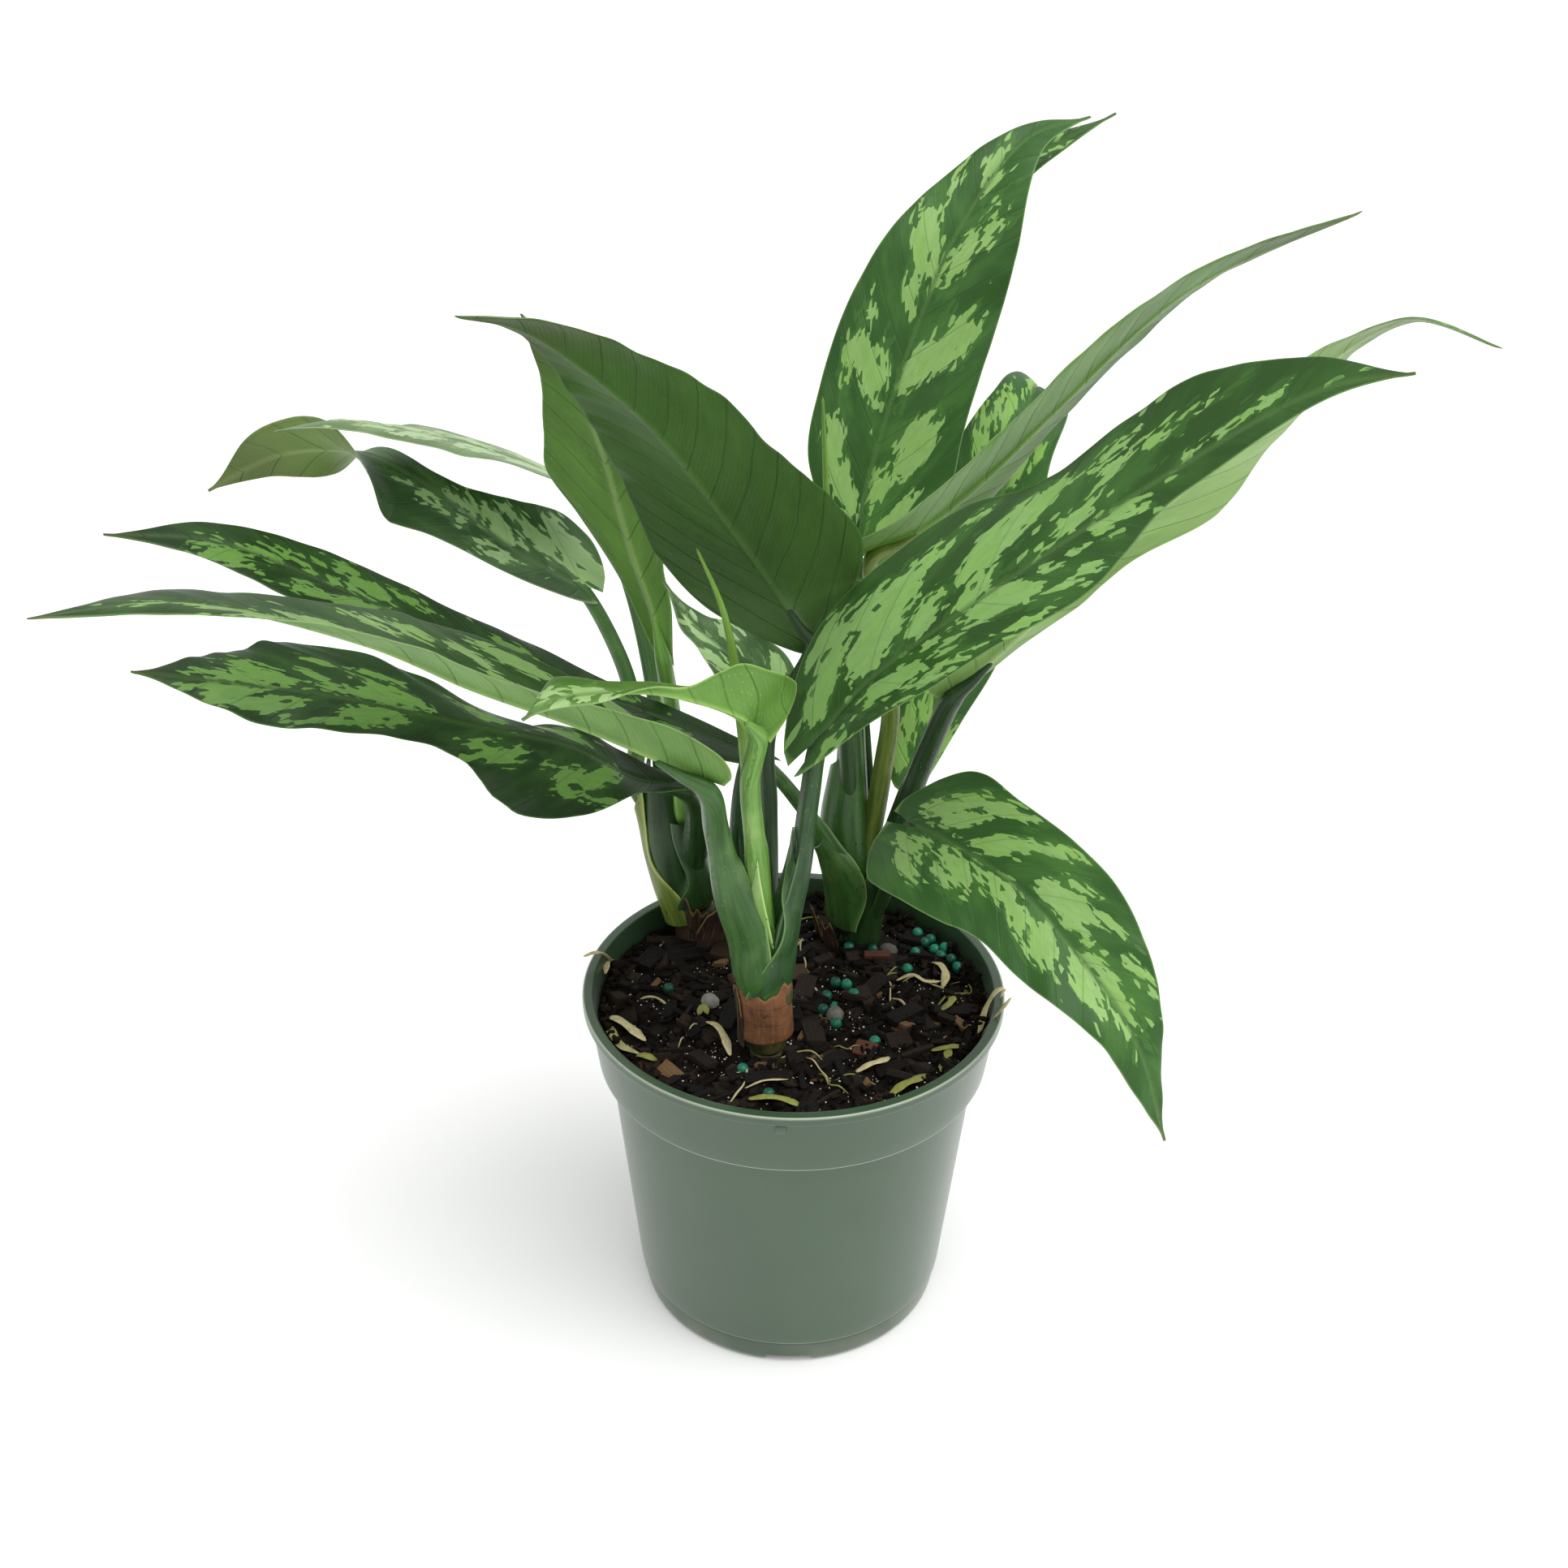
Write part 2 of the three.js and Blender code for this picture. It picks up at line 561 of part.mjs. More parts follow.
// Soil
function soilHeight(x, y) {
  const middle = 1 - (x * x + y * y) / (BAND_RADIUS * BAND_RADIUS);
  const [a, b, c, d] = LUMP_WAVES;
  const lumps = Math.sin(a * x + 1) * Math.cos(b * y) + SMALL_LUMP_SHARE * Math.sin(c * x + d * y);
  return SOIL_LEVEL + SOIL_MOUND * middle + SOIL_LUMP * lumps;
}

function soil() {
  const slope = (BAND_TOP_RADIUS - BAND_RADIUS) / (POT_HEIGHT - LIP_HEIGHT - BAND_BOTTOM);
  const walls = [
    [BASE_RADIUS - BASE_CORNER - STEP_SLOPE, POT_WALL + CLEARANCE],
    [BASE_RADIUS - SOIL_INSET, BASE_CORNER + POT_EDGE],
    [BODY_TOP_RADIUS - SOIL_INSET, BAND_BOTTOM - STEP_SLOPE],
    [BAND_RADIUS - SOIL_INSET, BAND_BOTTOM + 1.5 * STEP_SLOPE],
  ];
  const circle = (radius, height) => {
    const ring = [];
    for (let j = 0; j < SOIL_SIDES; j++) {
      const angle = (2 * Math.PI * j) / SOIL_SIDES;
      const x = radius * Math.cos(angle);
      const y = radius * Math.sin(angle);
      ring.push(new THREE.Vector3(x, y, height ?? soilHeight(x, y)));
    }
    return ring;
  };
  const rings = walls.map(([radius, height]) => circle(radius, height));
  const edge = BAND_RADIUS - SOIL_INSET - CLEARANCE + slope * (SOIL_LEVEL - BAND_BOTTOM);
  for (let i = SOIL_RINGS; i > 0; i--) rings.push(circle((edge * i) / SOIL_RINGS));
  return loft(rings);
}

// Numbers from 0 to 1 that are the same on each run
function seeded(seed) {
  const factor = 16807;
  const modulus = 2147483647;
  let state = seed;
  return () => {
    state = (state * factor) % modulus;
    return state / modulus;
  };
}

// A bit of the soil set into its surface at [x, y], with a share of its height sunk
function bit(geometry, x, y, height) {
  return toSolid(geometry.translate(x, y, soilHeight(x, y) + height * (0.5 - SUNK)));
}

function soilWithHoles() {
  const bits = [];
  for (const [x, y] of GRAINS) {
    bits.push(bit(new THREE.IcosahedronGeometry(GRAIN_RADIUS), x, y, 2 * GRAIN_RADIUS));
  }
  for (const [x, y] of PEBBLES) {
    bits.push(bit(new THREE.DodecahedronGeometry(PEBBLE_RADIUS), x, y, PEBBLE_RADIUS));
  }
  const random = seeded(CHIP_SEED);
  for (let i = 0; i < CHIPS; i++) {
    const size = THREE.MathUtils.lerp(CHIP_SIZES[0], CHIP_SIZES[1], random());
    const chip = new THREE.BoxGeometry(CHIP.length * size, CHIP.width * size, CHIP.thickness * size);
    chip.rotateX(CHIP_TILT * (2 * random() - 1));
    chip.rotateY(CHIP_TILT * (2 * random() - 1));
    chip.rotateZ(2 * Math.PI * random());
    const angle = 2 * Math.PI * random();
    const radius = CHIP_SPREAD * Math.sqrt(random());
    bits.push(bit(chip, radius * Math.cos(angle), radius * Math.sin(angle), CHIP.thickness * size));
  }
  let solid = toSolid(soil());
  for (const made of bits) solid = solid.add(made);
  for (const name of Object.keys(CANES)) solid = solid.subtract(toSolid(cane(name, CLEARANCE)));
  return toGeometry(largest(solid));
}

// Colours
const finish = (color, roughness) => new THREE.MeshStandardMaterial({ color, roughness, metalness: 0 });
const POT_GREEN = finish(0x6c7a6b, 0.45);
const SOIL_BROWN = finish(0x1f1812, 0.95);
const CANE_GREEN = finish(0x5d7d3a, 0.6);
const LEAF_GREEN = finish(0x2f5a2a, 0.4);
const YOUNG_GREEN = finish(0x8dbb55, 0.4);

const plant = new THREE.Group();

function add(name, geometry, material) {
  const mesh = new THREE.Mesh(geometry, material);
  mesh.name = name;
  plant.add(mesh);
}

add("pot", pot(), POT_GREEN);
add("soil", soilWithHoles(), SOIL_BROWN);
for (const name of Object.keys(CANES)) add("cane_" + name, cane(name, 0), CANE_GREEN);

// Each leaf and spear is cut clear of its cane and of the stalks that were placed before it
const stalks = [];

function addClear(name, solid, caneName, stalkSolid, material) {
  let made = solid.subtract(toSolid(cane(caneName, CLEARANCE)));
  for (const other of stalks) made = made.subtract(other);
  add(name, toGeometry(largest(made)), material);
  stalks.push(stalkSolid);
}

for (const leaf of LEAVES) {
  const whole = toSolid(blade(leaf)).add(toSolid(petiole(leaf, 0)));
  addClear(leaf.name, whole, leaf.cane, toSolid(petiole(leaf, CLEARANCE)), LEAF_GREEN);
}
for (const name of Object.keys(SPEARS)) {
  addClear(name, toSolid(spear(name, 0)), SPEARS[name].cane, toSolid(spear(name, CLEARANCE)), YOUNG_GREEN);
}

export default plant;
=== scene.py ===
"""Potted Chinese evergreen: variegated leaves on short canes, potting soil and a green nursery pot."""

import math

import bpy
import numpy as np

from mathutils import Matrix, Vector


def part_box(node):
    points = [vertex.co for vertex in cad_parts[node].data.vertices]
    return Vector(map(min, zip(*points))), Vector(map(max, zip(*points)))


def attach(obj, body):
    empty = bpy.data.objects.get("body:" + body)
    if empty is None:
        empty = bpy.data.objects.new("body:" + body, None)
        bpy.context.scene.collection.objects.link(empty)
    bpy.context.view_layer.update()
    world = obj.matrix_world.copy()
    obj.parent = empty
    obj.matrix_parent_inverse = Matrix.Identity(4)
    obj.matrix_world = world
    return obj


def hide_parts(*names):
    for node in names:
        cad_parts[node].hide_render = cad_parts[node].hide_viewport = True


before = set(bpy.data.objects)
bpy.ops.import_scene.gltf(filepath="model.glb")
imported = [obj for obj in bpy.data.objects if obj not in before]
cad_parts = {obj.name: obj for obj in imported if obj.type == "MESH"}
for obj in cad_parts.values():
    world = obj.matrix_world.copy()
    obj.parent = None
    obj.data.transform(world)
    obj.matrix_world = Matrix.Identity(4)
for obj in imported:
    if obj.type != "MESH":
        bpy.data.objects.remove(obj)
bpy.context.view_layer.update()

bl_info = {
    "name": "Potted Chinese Evergreen",
    "version": (1, 0, 0),
    "blender": (4, 5, 0),
    "location": "3D View > Sidebar > Evergreen",
    "description": "Builds a potted Chinese evergreen with marked leaves, canes, soil and pot",
    "category": "Add Mesh",
}

MM = 0.001
BODY = "root"
WELD = 0.005 * MM
TO_FRONT = (0, -1, 0)

# Pot, in millimetres. The height and the lip come from the frame.
POT_LOW, POT_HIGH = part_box("pot")
POT_HEIGHT = (POT_HIGH.z - POT_LOW.z) / MM
LIP_RADIUS = (POT_HIGH.x - POT_LOW.x) / 2 / MM
LIP_HEIGHT = 3
BAND_TOP_RADIUS = 55.4
BAND_RADIUS = 53.2
BAND_BOTTOM = 77.6
BODY_TOP_RADIUS = 50.3
BASE_RADIUS = 42.6
BASE_CORNER = 4
POT_WALL = 1.3
DRAIN_SLOTS = 4
DRAIN_SLOT = (13, 9, 2.6)
POT_AROUND = 192

# Soil
SOIL_LEVEL = 89
SOIL_MOUND = 3.5
SOIL_LUMP = 0.9
LUMP_WAVES = (0.31, 0.27, 0.4, 0.55)
SMALL_LUMP_SHARE = 0.6
SOIL_INSET = 1.8
SOIL_BANK = 3.2
SOIL_LUMP_SIZE = 7
SOIL_LUMP_HEIGHT = 0.5
CLOD_SIZE = 2.6
CLOD_HEIGHT = 0.4
SOIL_GRID = (260, 125)

# Leaf build
LOBE_SHARE = 0.07
ROUNDED_SHARE = 0.06
BLADE_BASE_HALF_WIDTH = 1.7
BLADE_TIP_HALF_WIDTH = 0.4
BLADE_THICKNESS = 0.7
CLOSING_SHARE = 0.012
KEEL_DEPTH = 1.1
KEEL_BREADTH = 1.1
GROOVE_DEPTH = 0.45
GROOVE_BREADTH = 0.8
PLEAT_SPACING = 11
PLEAT_DEPTH = 0.09
PETIOLE_END = 0.1
RUFFLE = 0.35
RUFFLE_SEED = 40
VEIN_SLANT = 1.1
VEIN_BEND = 0.015
FAR_FROM_MARKS = 9
LEAF_STEP = 36 * PLEAT_SPACING

# Leaves, in millimetres and degrees. The petiole runs from its cane to the rib, and the rib from there to
# the tip. The face is the way that the upper side looks. The widths of the left and the right half and the
# folds by which each is raised at the rib stand at even steps from base to tip. Curl is how far each half
# turns down again, wave is a height, a count and a phase, and back is how far the lobes reach behind the
# petiole. Ruffle is the height of the margin's own waves. A mark is a pale patch: how far along its vein's
# foot lies, how far across it is, and how far it reaches each way.
LEAVES = {
    "leaf_upright": {
        "tones": ("fair", "green", "shaded"),
        "petiole": [(16, 33, 108), (16, 34, 122), (15, 35, 152), (15, 37, 184)],
        "radii": [5.6, 4.4, 2.6, 2.2, 1.9],
        "rib": [(15, 40, 214), (20, 47, 234), (29, 57, 261), (39, 65, 284), (56, 78, 304), (74, 90, 308)],
        "face": [(0.1, -0.9, 0.4), (0, -0.9, 0.4), (-0.3, -0.8, 0.6)],
        "left": [7, 17, 19, 19, 17, 13, 8, 3, 0],
        "right": [14, 21, 20, 19.5, 19, 16, 10, 4, 0],
        "left_fold": [10, 8, 20],
        "right_fold": [10, 12, 30],
        "curl": (20, 20),
        "wave": (1.2, 2, 0.3),
        "back": 7,
        "ruffle": 0.5,
        "marks": [(3, 8, 5, 7), (8, 11, 5, 3), (22, 14, 6, 2), (29, 9, 5, 6), (33, 5, 6, 3),
            (38, 12, 3, 2), (55, 4, 4, 3), (66, 6, 7, 5), (65, 1, 6, 1.5), (80, 7, 5, 1.2),
            (64, 11, 3, 1.5), (98, 2, 7, 2), (8, -3, 6, 3), (11, -10, 7, 5), (18, -8, 4, 4),
            (-4, -9, 3, 5), (40, -4, 8, 4), (40, -9, 9, 4), (36, -13, 5, 2), (69, -4, 9, 3),
            (72, -8, 6, 2), (78, -5, 5, 1.2), (93, -1, 4, 1.3)],
    },
    "leaf_upright_rear": {
        "tones": ("deep", "green", "shaded"),
        "petiole": [(17, 35, 108), (20, 37, 129), (19, 40, 145), (16, 50, 170)],
        "radii": [2.8, 2.2, 1.9, 1.7],
        "rib": [(9, 62, 196), (16, 70, 223), (25, 78, 250), (38, 86, 276), (57, 96, 294), (83, 106, 306)],
        "face": [(0.1, -0.9, 0.4), (0, -0.9, 0.4), (-0.3, -0.8, 0.6)],
        "left": [6, 10, 12, 12, 11, 9, 6, 3, 0],
        "right": [6, 9, 10, 10, 10, 8, 5, 3, 0],
        "left_fold": [10, 8, 20],
        "right_fold": [10, 10, 20],
        "curl": (20, 20),
        "wave": (1, 2, 0.8),
        "back": 4,
    },
    "leaf_front_right": {
        "tones": ("deep", "green", "deep"),
        "petiole": [(-5, -21, 116), (-3, -23, 132), (1, -27, 154), (3, -29, 174)],
        "radii": [5, 3.7, 2.7, 2.4, 2.1],
        "rib": [(4, -30, 188), (15, -33, 205), (37, -40, 228), (59, -45, 248), (74, -48, 261),
            (103, -57, 284), (119, -62, 289)],
        "face": [(-0.6, -0.4, 0.6), (-0.6, -0.4, 0.6), (-0.5, -0.3, 0.8)],
        "left": [10, 19, 23, 26, 20, 19, 17, 9, 0],
        "right": [4, 11, 15, 14, 13, 6, 5, 3, 0],
        "left_fold": [30, 14, 10, 15],
        "right_fold": [12, 5, -25],
        "curl": (15, 15),
        "wave": (3.5, 1.5, 0.08),
        "back": 10,
        "marks": [(3, 9, 6, 7), (-2, 16, 5, 3), (11, 14, 5, 3), (21, 9, 10, 8), (25, 16, 7, 3),
            (37, 5, 5, 4), (35, 20, 4, 1.3), (52, 11, 11, 6), (52, 3, 5, 4), (63, 12, 6, 4),
            (84, 9, 4, 3), (80, 13, 6, 2), (80, 4, 5, 2.5), (94, 10, 5, 1.6), (78, 2, 11, 1.2),
            (106, 10, 4, 1.2), (128, 3, 4, 1.6), (118, 2, 7, 1), (22, -6, 10, 4), (25, -12, 9, 2),
            (3, -5, 3, 3), (40, -3, 6, 1.2), (37, -7, 5, 1.5), (57, -4, 10, 5), (66, -9, 7, 1.5),
            (76, -4, 6, 1.4), (91, -1.5, 7, 2), (50, -12, 10, 1)],
    },
    "leaf_long_left": {
        "tones": ("dull", "light", "green"),
        "petiole": [(-9, -22, 117), (-11, -24, 130), (-16, -31, 149), (-19, -38, 169)],
        "radii": [7, 5.6, 3.4, 2.8, 2.3],
        "rib": [(-21, -45, 186), (-31, -49, 194), (-50, -58, 208), (-69, -66, 220), (-89, -74, 234),
            (-122, -84, 247), (-149, -92, 247)],
        "face": [(0.3, 0.1, 0.9), (0.3, 0.1, 0.9), (0.2, 0.1, 0.9)],
        "left": [11, 13, 10, 11, 9, 8, 7, 5, 0],
        "right": [8, 12, 18, 24, 20, 13, 12, 8, 0],
        "left_fold": [60, 60, 50, 20, 0],
        "right_fold": [20, 20, 12, 0, 0],
        "curl": (20, 10),
        "wave": (1, 2, 0),
        "back": 4,
        "marks": [(84, 4, 9, 5), (94, -1, 11, 4), (101, 4, 9, 4), (90, 8, 9, 2), (113, 2, 8, 3),
            (128, 1, 6, 1.6), (60, 4, 9, 4), (30, 8, 7, 5), (8, 10, 6, 5), (29, -16, 8, 5),
            (45, -13, 4, 4), (58, -13, 7, 2.5), (72, -10, 7, 2.5), (48, -6, 4, 2), (10, -10, 6, 5)],
    },
    "leaf_young": {
        "tones": ("young", "fresh", "fresh"),
        "petiole": [(-8, -21, 118), (-9, -26, 139), (-10, -33, 162), (-11, -40, 184)],
        "radii": [4.6, 3.2, 2.6, 2.4, 2.1],
        "rib": [(-10.5, -45, 199), (-13, -49, 204.5), (-22, -56, 212), (-32, -62, 217.5),
            (-42, -71, 221.5), (-50, -79, 224), (-56, -86, 223)],
        "face": [(0.2, 0.3, 0.9), (0.2, 0.3, 0.9), (0.1, -0.2, 0.9), (-0.1, -0.7, 0.7)],
        "left": [17, 13, 11, 3, 3, 3, 3, 2, 0],
        "right": [6, 6, 5, 3, 3, 5, 9, 4, 0],
        "left_fold": [85, 80, 60, 20, 0],
        "right_fold": [60, 60, 30, 0, 0],
        "curl": (20, 20),
        "wave": (1, 1, 0),
        "back": 9,
        "marks": [(45, 2, 4, 1.5), (50, 0, 6, 3), (57, 2, 5, 2), (54, -2, 5, 1.5)],
    },
    "leaf_front_left": {
        "tones": ("deep", "shaded", "shaded"),
        "petiole": [(-8, -19, 120), (-7, -15, 137), (-7, -12, 159), (-7, -10, 181)],
        "radii": [2.8, 2.3, 2, 1.8],
        "rib": [(3, -8, 204), (-4, -13, 218), (-17, -26, 243), (-31, -40, 268), (-44, -53, 285),
            (-55, -63, 296), (-66, -72, 301)],
        "face": [(0.1, 0.9, 0.4), (0.35, 0.8, 0.5), (0.3, 0.6, 0.7)],
        "left": [4, 19, 28, 29, 24, 22, 18, 10, 0],
        "right": [8, 21, 25, 23, 20, 15, 9, 4, 0],
        "left_fold": [10, 10, 15],
        "right_fold": [10, 10, 15],
        "curl": (15, 15),
        "wave": (1, 1.5, 0.3),
        "back": 4,
        "ruffle": 0.6,
    },
    "leaf_right_under": {
        "tones": ("deep", "pale", "shaded"),
        "petiole": [(20, 32, 98), (24, 31, 112), (29, 28, 133), (35, 24, 157)],
        "radii": [4, 3.4, 3, 2.8, 2.2],
        "rib": [(40, 20, 177), (52, 12, 194), (79, -2, 232), (109, -10, 265), (120, -12, 279),
            (132, -15, 286), (150, -22, 282)],
        "face": [(-0.15, 0.8, 0.5), (-0.15, 0.8, 0.5), (-0.1, 0.2, 0.9)],
        "left": [3, 5, 8, 8, 17, 13, 8, 5, 0],
        "right": [10, 18, 20, 20, 18, 15, 10, 5, 0],
        "left_fold": [10, 10, 15],
        "right_fold": [10, 10, 15],
        "curl": (15, 15),
        "wave": (1.5, 2, 0),
        "back": 4,
    },
    "leaf_right_narrow": {
        "tones": ("deep", "green", "yellow"),
        "petiole": [(18, 33, 108), (22, 32, 132), (24, 29, 151), (25, 24, 168), (22, 14, 196)],
        "radii": [3, 2.5, 2.2, 2, 1.8],
        "rib": [(17, 5, 222), (29, 4, 229), (44, 3, 243), (58, 2, 259), (86, -2, 289), (120, -6, 307)],
        "face": [(-0.5, 0.54, 0.69), (-0.5, 0.54, 0.69), (-0.4, 0.6, 0.7)],
        "left": [15, 14, 11, 9, 9, 8, 5, 2, 0],
        "right": [16, 18, 16, 15, 16, 14, 10, 6, 0],
        "left_fold": [-20, 5, 25],
        "right_fold": [7, 7, 7],
        "curl": (10, 10),
        "wave": (0.6, 1, 0),
        "back": 10,
    },
    "leaf_right_inner": {
        "tones": ("bright", "green", "yellow"),
        "petiole": [(19, 34, 104), (28, 38, 120), (32, 40, 130)],
        "radii": [3, 2.4, 2, 1.8],
        "rib": [(33, 42, 140), (38, 46, 157), (45, 52, 179), (54, 62, 211), (61, 74, 234), (65, 88, 237),
            (72, 102, 217)],
        "face": [(0.1, -0.9, 0.3), (0, -0.9, 0.3), (0.2, -0.1, 0.9)],
        "left": [8, 12, 16, 18, 18, 16, 10, 6, 0],
        "right": [4, 8, 12, 13, 12, 10, 11, 8, 0],
        "left_fold": [12, 12, 10],
        "right_fold": [12, 12, 10],
        "curl": (15, 15),
        "wave": (1, 1.5, 0.5),
        "back": 6,
        "marks": [(0, 7, 4, 4), (8, 6, 6, 3), (16, 3, 6, 2), (25, 9, 6, 4), (42, 11, 7, 3), (60, 8, 6, 4),
            (82, 10, 7, 3), (75, 6, 5, 2), (98, 5, 6, 2.5), (92, 8, 4, 1.5), (113, 1.5, 8, 2),
            (5, -6, 5, 3), (38, -6, 9, 4), (62, -5, 7, 4), (87, -2, 7, 2.5), (85, -6, 5, 2),
            (94, -6, 4, 1.5)],
    },
    "leaf_right_drooping": {
        "tones": ("fair", "green", "shaded"),
        "petiole": [(20, 32, 96), (24, 27, 108), (27, 15, 128)],
        "radii": [3, 2.4, 2, 1.9],
        "rib": [(29, 5, 146), (38, -8, 149), (54, -26, 147), (65, -38, 140), (78, -50, 127),
            (84, -55, 117), (91, -60, 95)],
        "face": [(-0.5, -0.4, 0.77), (-0.4, -0.5, 0.75), (0.4, -0.6, 0.5)],
        "left": [10, 19, 18, 18, 18, 14, 8, 3, 0],
        "right": [18, 20, 19, 16, 15, 12, 8, 5, 0],
        "left_fold": [12, 12, 15],
        "right_fold": [12, 12, 15],
        "curl": (10, 10),
        "wave": (2, 2, 0),
        "back": 7,
        "ruffle": 1.3,
        "marks": [(2, 9, 5, 7), (10, 7, 4, 5), (9, 14, 6, 3), (24, 6, 5, 5), (25, 13, 4, 4),
            (45, 6, 8, 4), (38, 11, 3, 2), (53, 4, 5, 2), (50, 11, 4, 1.2), (65, 9, 5, 1.5),
            (70, 2, 10, 2.2), (80, 1, 6, 1.6), (6, -3, 6, 2), (1, -6, 6, 3), (-2, -11, 5, 4),
            (19, -5, 6, 4), (14, -9, 5, 2), (35, -3, 9, 3), (46, -6, 9, 4), (53, -3, 5, 3),
            (67, -3, 9, 3), (80, -1.5, 7, 1.5)],
    },
    "leaf_lower_left": {
        # Its upper side takes the painted shade tones, as it lies in the shade of the leaves above
        "tones": ("dim", "green", "shaded"),
        "petiole": [(-31, 35, 108), (-28, 30, 122), (-27, 20, 141)],
        "radii": [4.4, 3.6, 2.6, 2.1],
        "rib": [(-29, 10, 154), (-40, 2, 160), (-56, -12, 177), (-74, -24, 188), (-104, -40, 204),
            (-123, -48, 211), (-145, -54, 217)],
        "face": [(0.2, -0.3, 0.9), (0.2, -0.3, 0.9), (0.2, -0.2, 0.9)],
        "left": [2, 6, 17, 19, 8, 9, 11, 7, 0],
        "right": [3, 7, 10, 12, 16, 19, 23, 14, 0],
        "left_fold": [10, -20, -25, 0, 0],
        "right_fold": [10, -10, -10, 0],
        "curl": (10, 10),
        "wave": (3, 2, 0),
        "back": 2,
        "ruffle": 1.5,
        "marks": [(25, 5, 5, 6), (27, 12, 6, 2), (33, 8, 5, 3), (56, 6, 8, 3), (64, 4, 5, 1.5),
            (92, 4, 8, 4), (100, 8, 7, 1.5), (95, 8, 4, 2), (117, 5, 10, 3), (127, 2, 10, 2.5),
            (41, 6, 2, 1.3), (14, 12, 4, 2), (83, -5, 7, 5), (92, -3, 9, 3), (79, -11, 7, 2),
            (90, -13, 5, 2), (100, -7, 3, 3), (103, -3, 5, 2), (118, -4, 10, 3), (115, -8, 8, 2),
            (126, -2, 9, 2), (35, -5, 7, 3), (58, -6, 6, 3)],
    },
    "leaf_upper_left": {
        # Its upper side takes the painted shade tones, as it lies in the shade of the leaves above
        "tones": ("dim", "green", "green"),
        "petiole": [(16, 33, 101), (15, 30, 114), (9, 22, 129), (1, 12, 148)],
        "radii": [4.6, 3.6, 2.3, 2, 1.8],
        "rib": [(-8, 6, 164), (-28, 11, 170), (-59, 15, 180), (-87, 15, 193), (-113, 10, 208),
            (-139, 1, 224), (-162, -11, 231)],
        "face": [(0.2, -0.1, 0.9), (0.2, -0.1, 0.9), (0.2, -0.4, 0.9)],
        "left": [5, 13, 15, 15, 11, 11, 12, 6, 0],
        "right": [3, 5, 7, 12, 11, 11, 10, 6, 0],
        "left_fold": [10, 10, 10],
        "right_fold": [10, 10, 10],
        "curl": (10, 10),
        "wave": (1, 2, 0),
        "back": 4,
        "marks": [(100, 4, 5, 2.5), (107, 4, 6, 4), (115, 7, 6, 2.5), (121, 5, 3, 2), (142, 4, 9, 3),
            (137, 7, 5, 1.3), (150, 2, 6, 1.5), (85, 5, 4, 4), (65, 6, 6, 3), (45, 7, 7, 5),
            (20, 7, 7, 5), (90, -6, 7, 1.5), (105, -4, 7, 3), (112, -2, 9, 2), (107, -7, 6, 2),
            (118, -5, 5, 1.5), (126, -3, 7, 1.5), (139, -1, 8, 1.3), (65, -5, 6, 3), (40, -4, 7, 2)],
    },
    "leaf_rear_left_twisted": {
        "tones": ("grey", "olive", "green"),
        "petiole": [(-35, 36, 126), (-44, 38, 137), (-44, 41, 152), (-47, 45, 170)],
        "radii": [2.8, 2.4, 2.2, 2, 1.8],
        "rib": [(-58, 48, 193), (-76, 46, 205), (-95, 42, 223), (-112, 38, 234), (-131, 36, 234),
            (-150, 33, 225)],
        "face": [(0.3, -0.5, 0.8), (0.2, -0.7, 0.7), (0.2, -0.7, 0.7), (0, 0.8, 0.6), (0, 0.9, -0.2)],
        "left": [4, 6, 8, 11, 15, 17, 11, 6, 0],
        "right": [13, 17, 12, 6, 6, 12, 9, 4, 0],
        "left_fold": [-30, -20, 0, 10],
        "right_fold": [10, 0, -20, -10, 10],
        "curl": (-30, 10),
        "wave": (1, 1, 0),
        "back": 6,
        "marks": [(-3, -9, 7, 6), (8, -6, 7, 4), (0, -4, 5, 3), (25, -3, 9, 3), (36, -1.5, 7, 2),
            (16, -8, 6, 2), (45, 3, 9, 1.5), (20, 4, 6, 2)],
    },
    "leaf_rear_left_arching": {
        # Its upper side takes the painted sheen tones
        "tones": ("silver", "green", "green"),
        "petiole": [(-35, 37, 124), (-37, 41, 140), (-39, 46, 162), (-45, 50, 192)],
        "radii": [3, 2.4, 2.2, 2, 1.8],
        "rib": [(-53, 50, 218), (-66, 47, 226), (-84, 41, 235), (-98, 30, 242.5), (-112, 20, 248),
            (-126, 13, 248)],
        "face": [(0.35, 0.3, 0.85), (0.35, 0.3, 0.85), (0.2, 0.3, 0.85)],
        "left": [6, 12, 13, 14, 13, 10, 8, 4, 0],
        "right": [6, 12, 13, 14, 13, 10, 8, 4, 0],
        "left_fold": [0, 0, 0],
        "right_fold": [5, 5, 5],
        "curl": (10, 10),
        "wave": (1, 1, 0),
        "back": 2,
        "marks": [(15, 5, 8, 5), (32, 4, 8, 5), (50, 4, 8, 3), (62, 2, 7, 2), (12, -5, 7, 4),
            (30, -5, 8, 4), (50, -3, 9, 3), (65, -1, 6, 1.5)],
    },
    "leaf_rear_upright": {
        "tones": ("deep", "green", "fresh"),
        "petiole": [(-32, 36, 112), (-31, 33, 132), (-33, 26, 165)],
        "radii": [3, 2.4, 2.4, 2],
        "rib": [(-34, 16, 189), (-37, 17, 202), (-41, 16, 216), (-48, 10, 248), (-53, 4, 266),
            (-63, -4, 282)],
        "face": [(0.3, 0.8, 0.3), (0.3, 0.8, 0.3), (0.3, 0.7, 0.5)],
        "left": [2, 5, 7, 14, 18, 16, 12, 6, 0],
        "right": [3, 6, 9, 14, 19, 15, 11, 7, 0],
        "left_fold": [10, 10, 10],
        "right_fold": [10, 10, 10],
        "curl": (10, 10),
        "wave": (1, 1, 0),
        "back": 4,
    },
    "leaf_middle": {
        "tones": ("grey", "grey", "shaded"),
        "petiole": [(-9, -18, 119), (-13, -12, 135), (-15, -9, 150), (-13, -5, 168)],
        "radii": [2.4, 2, 1.8, 1.6],
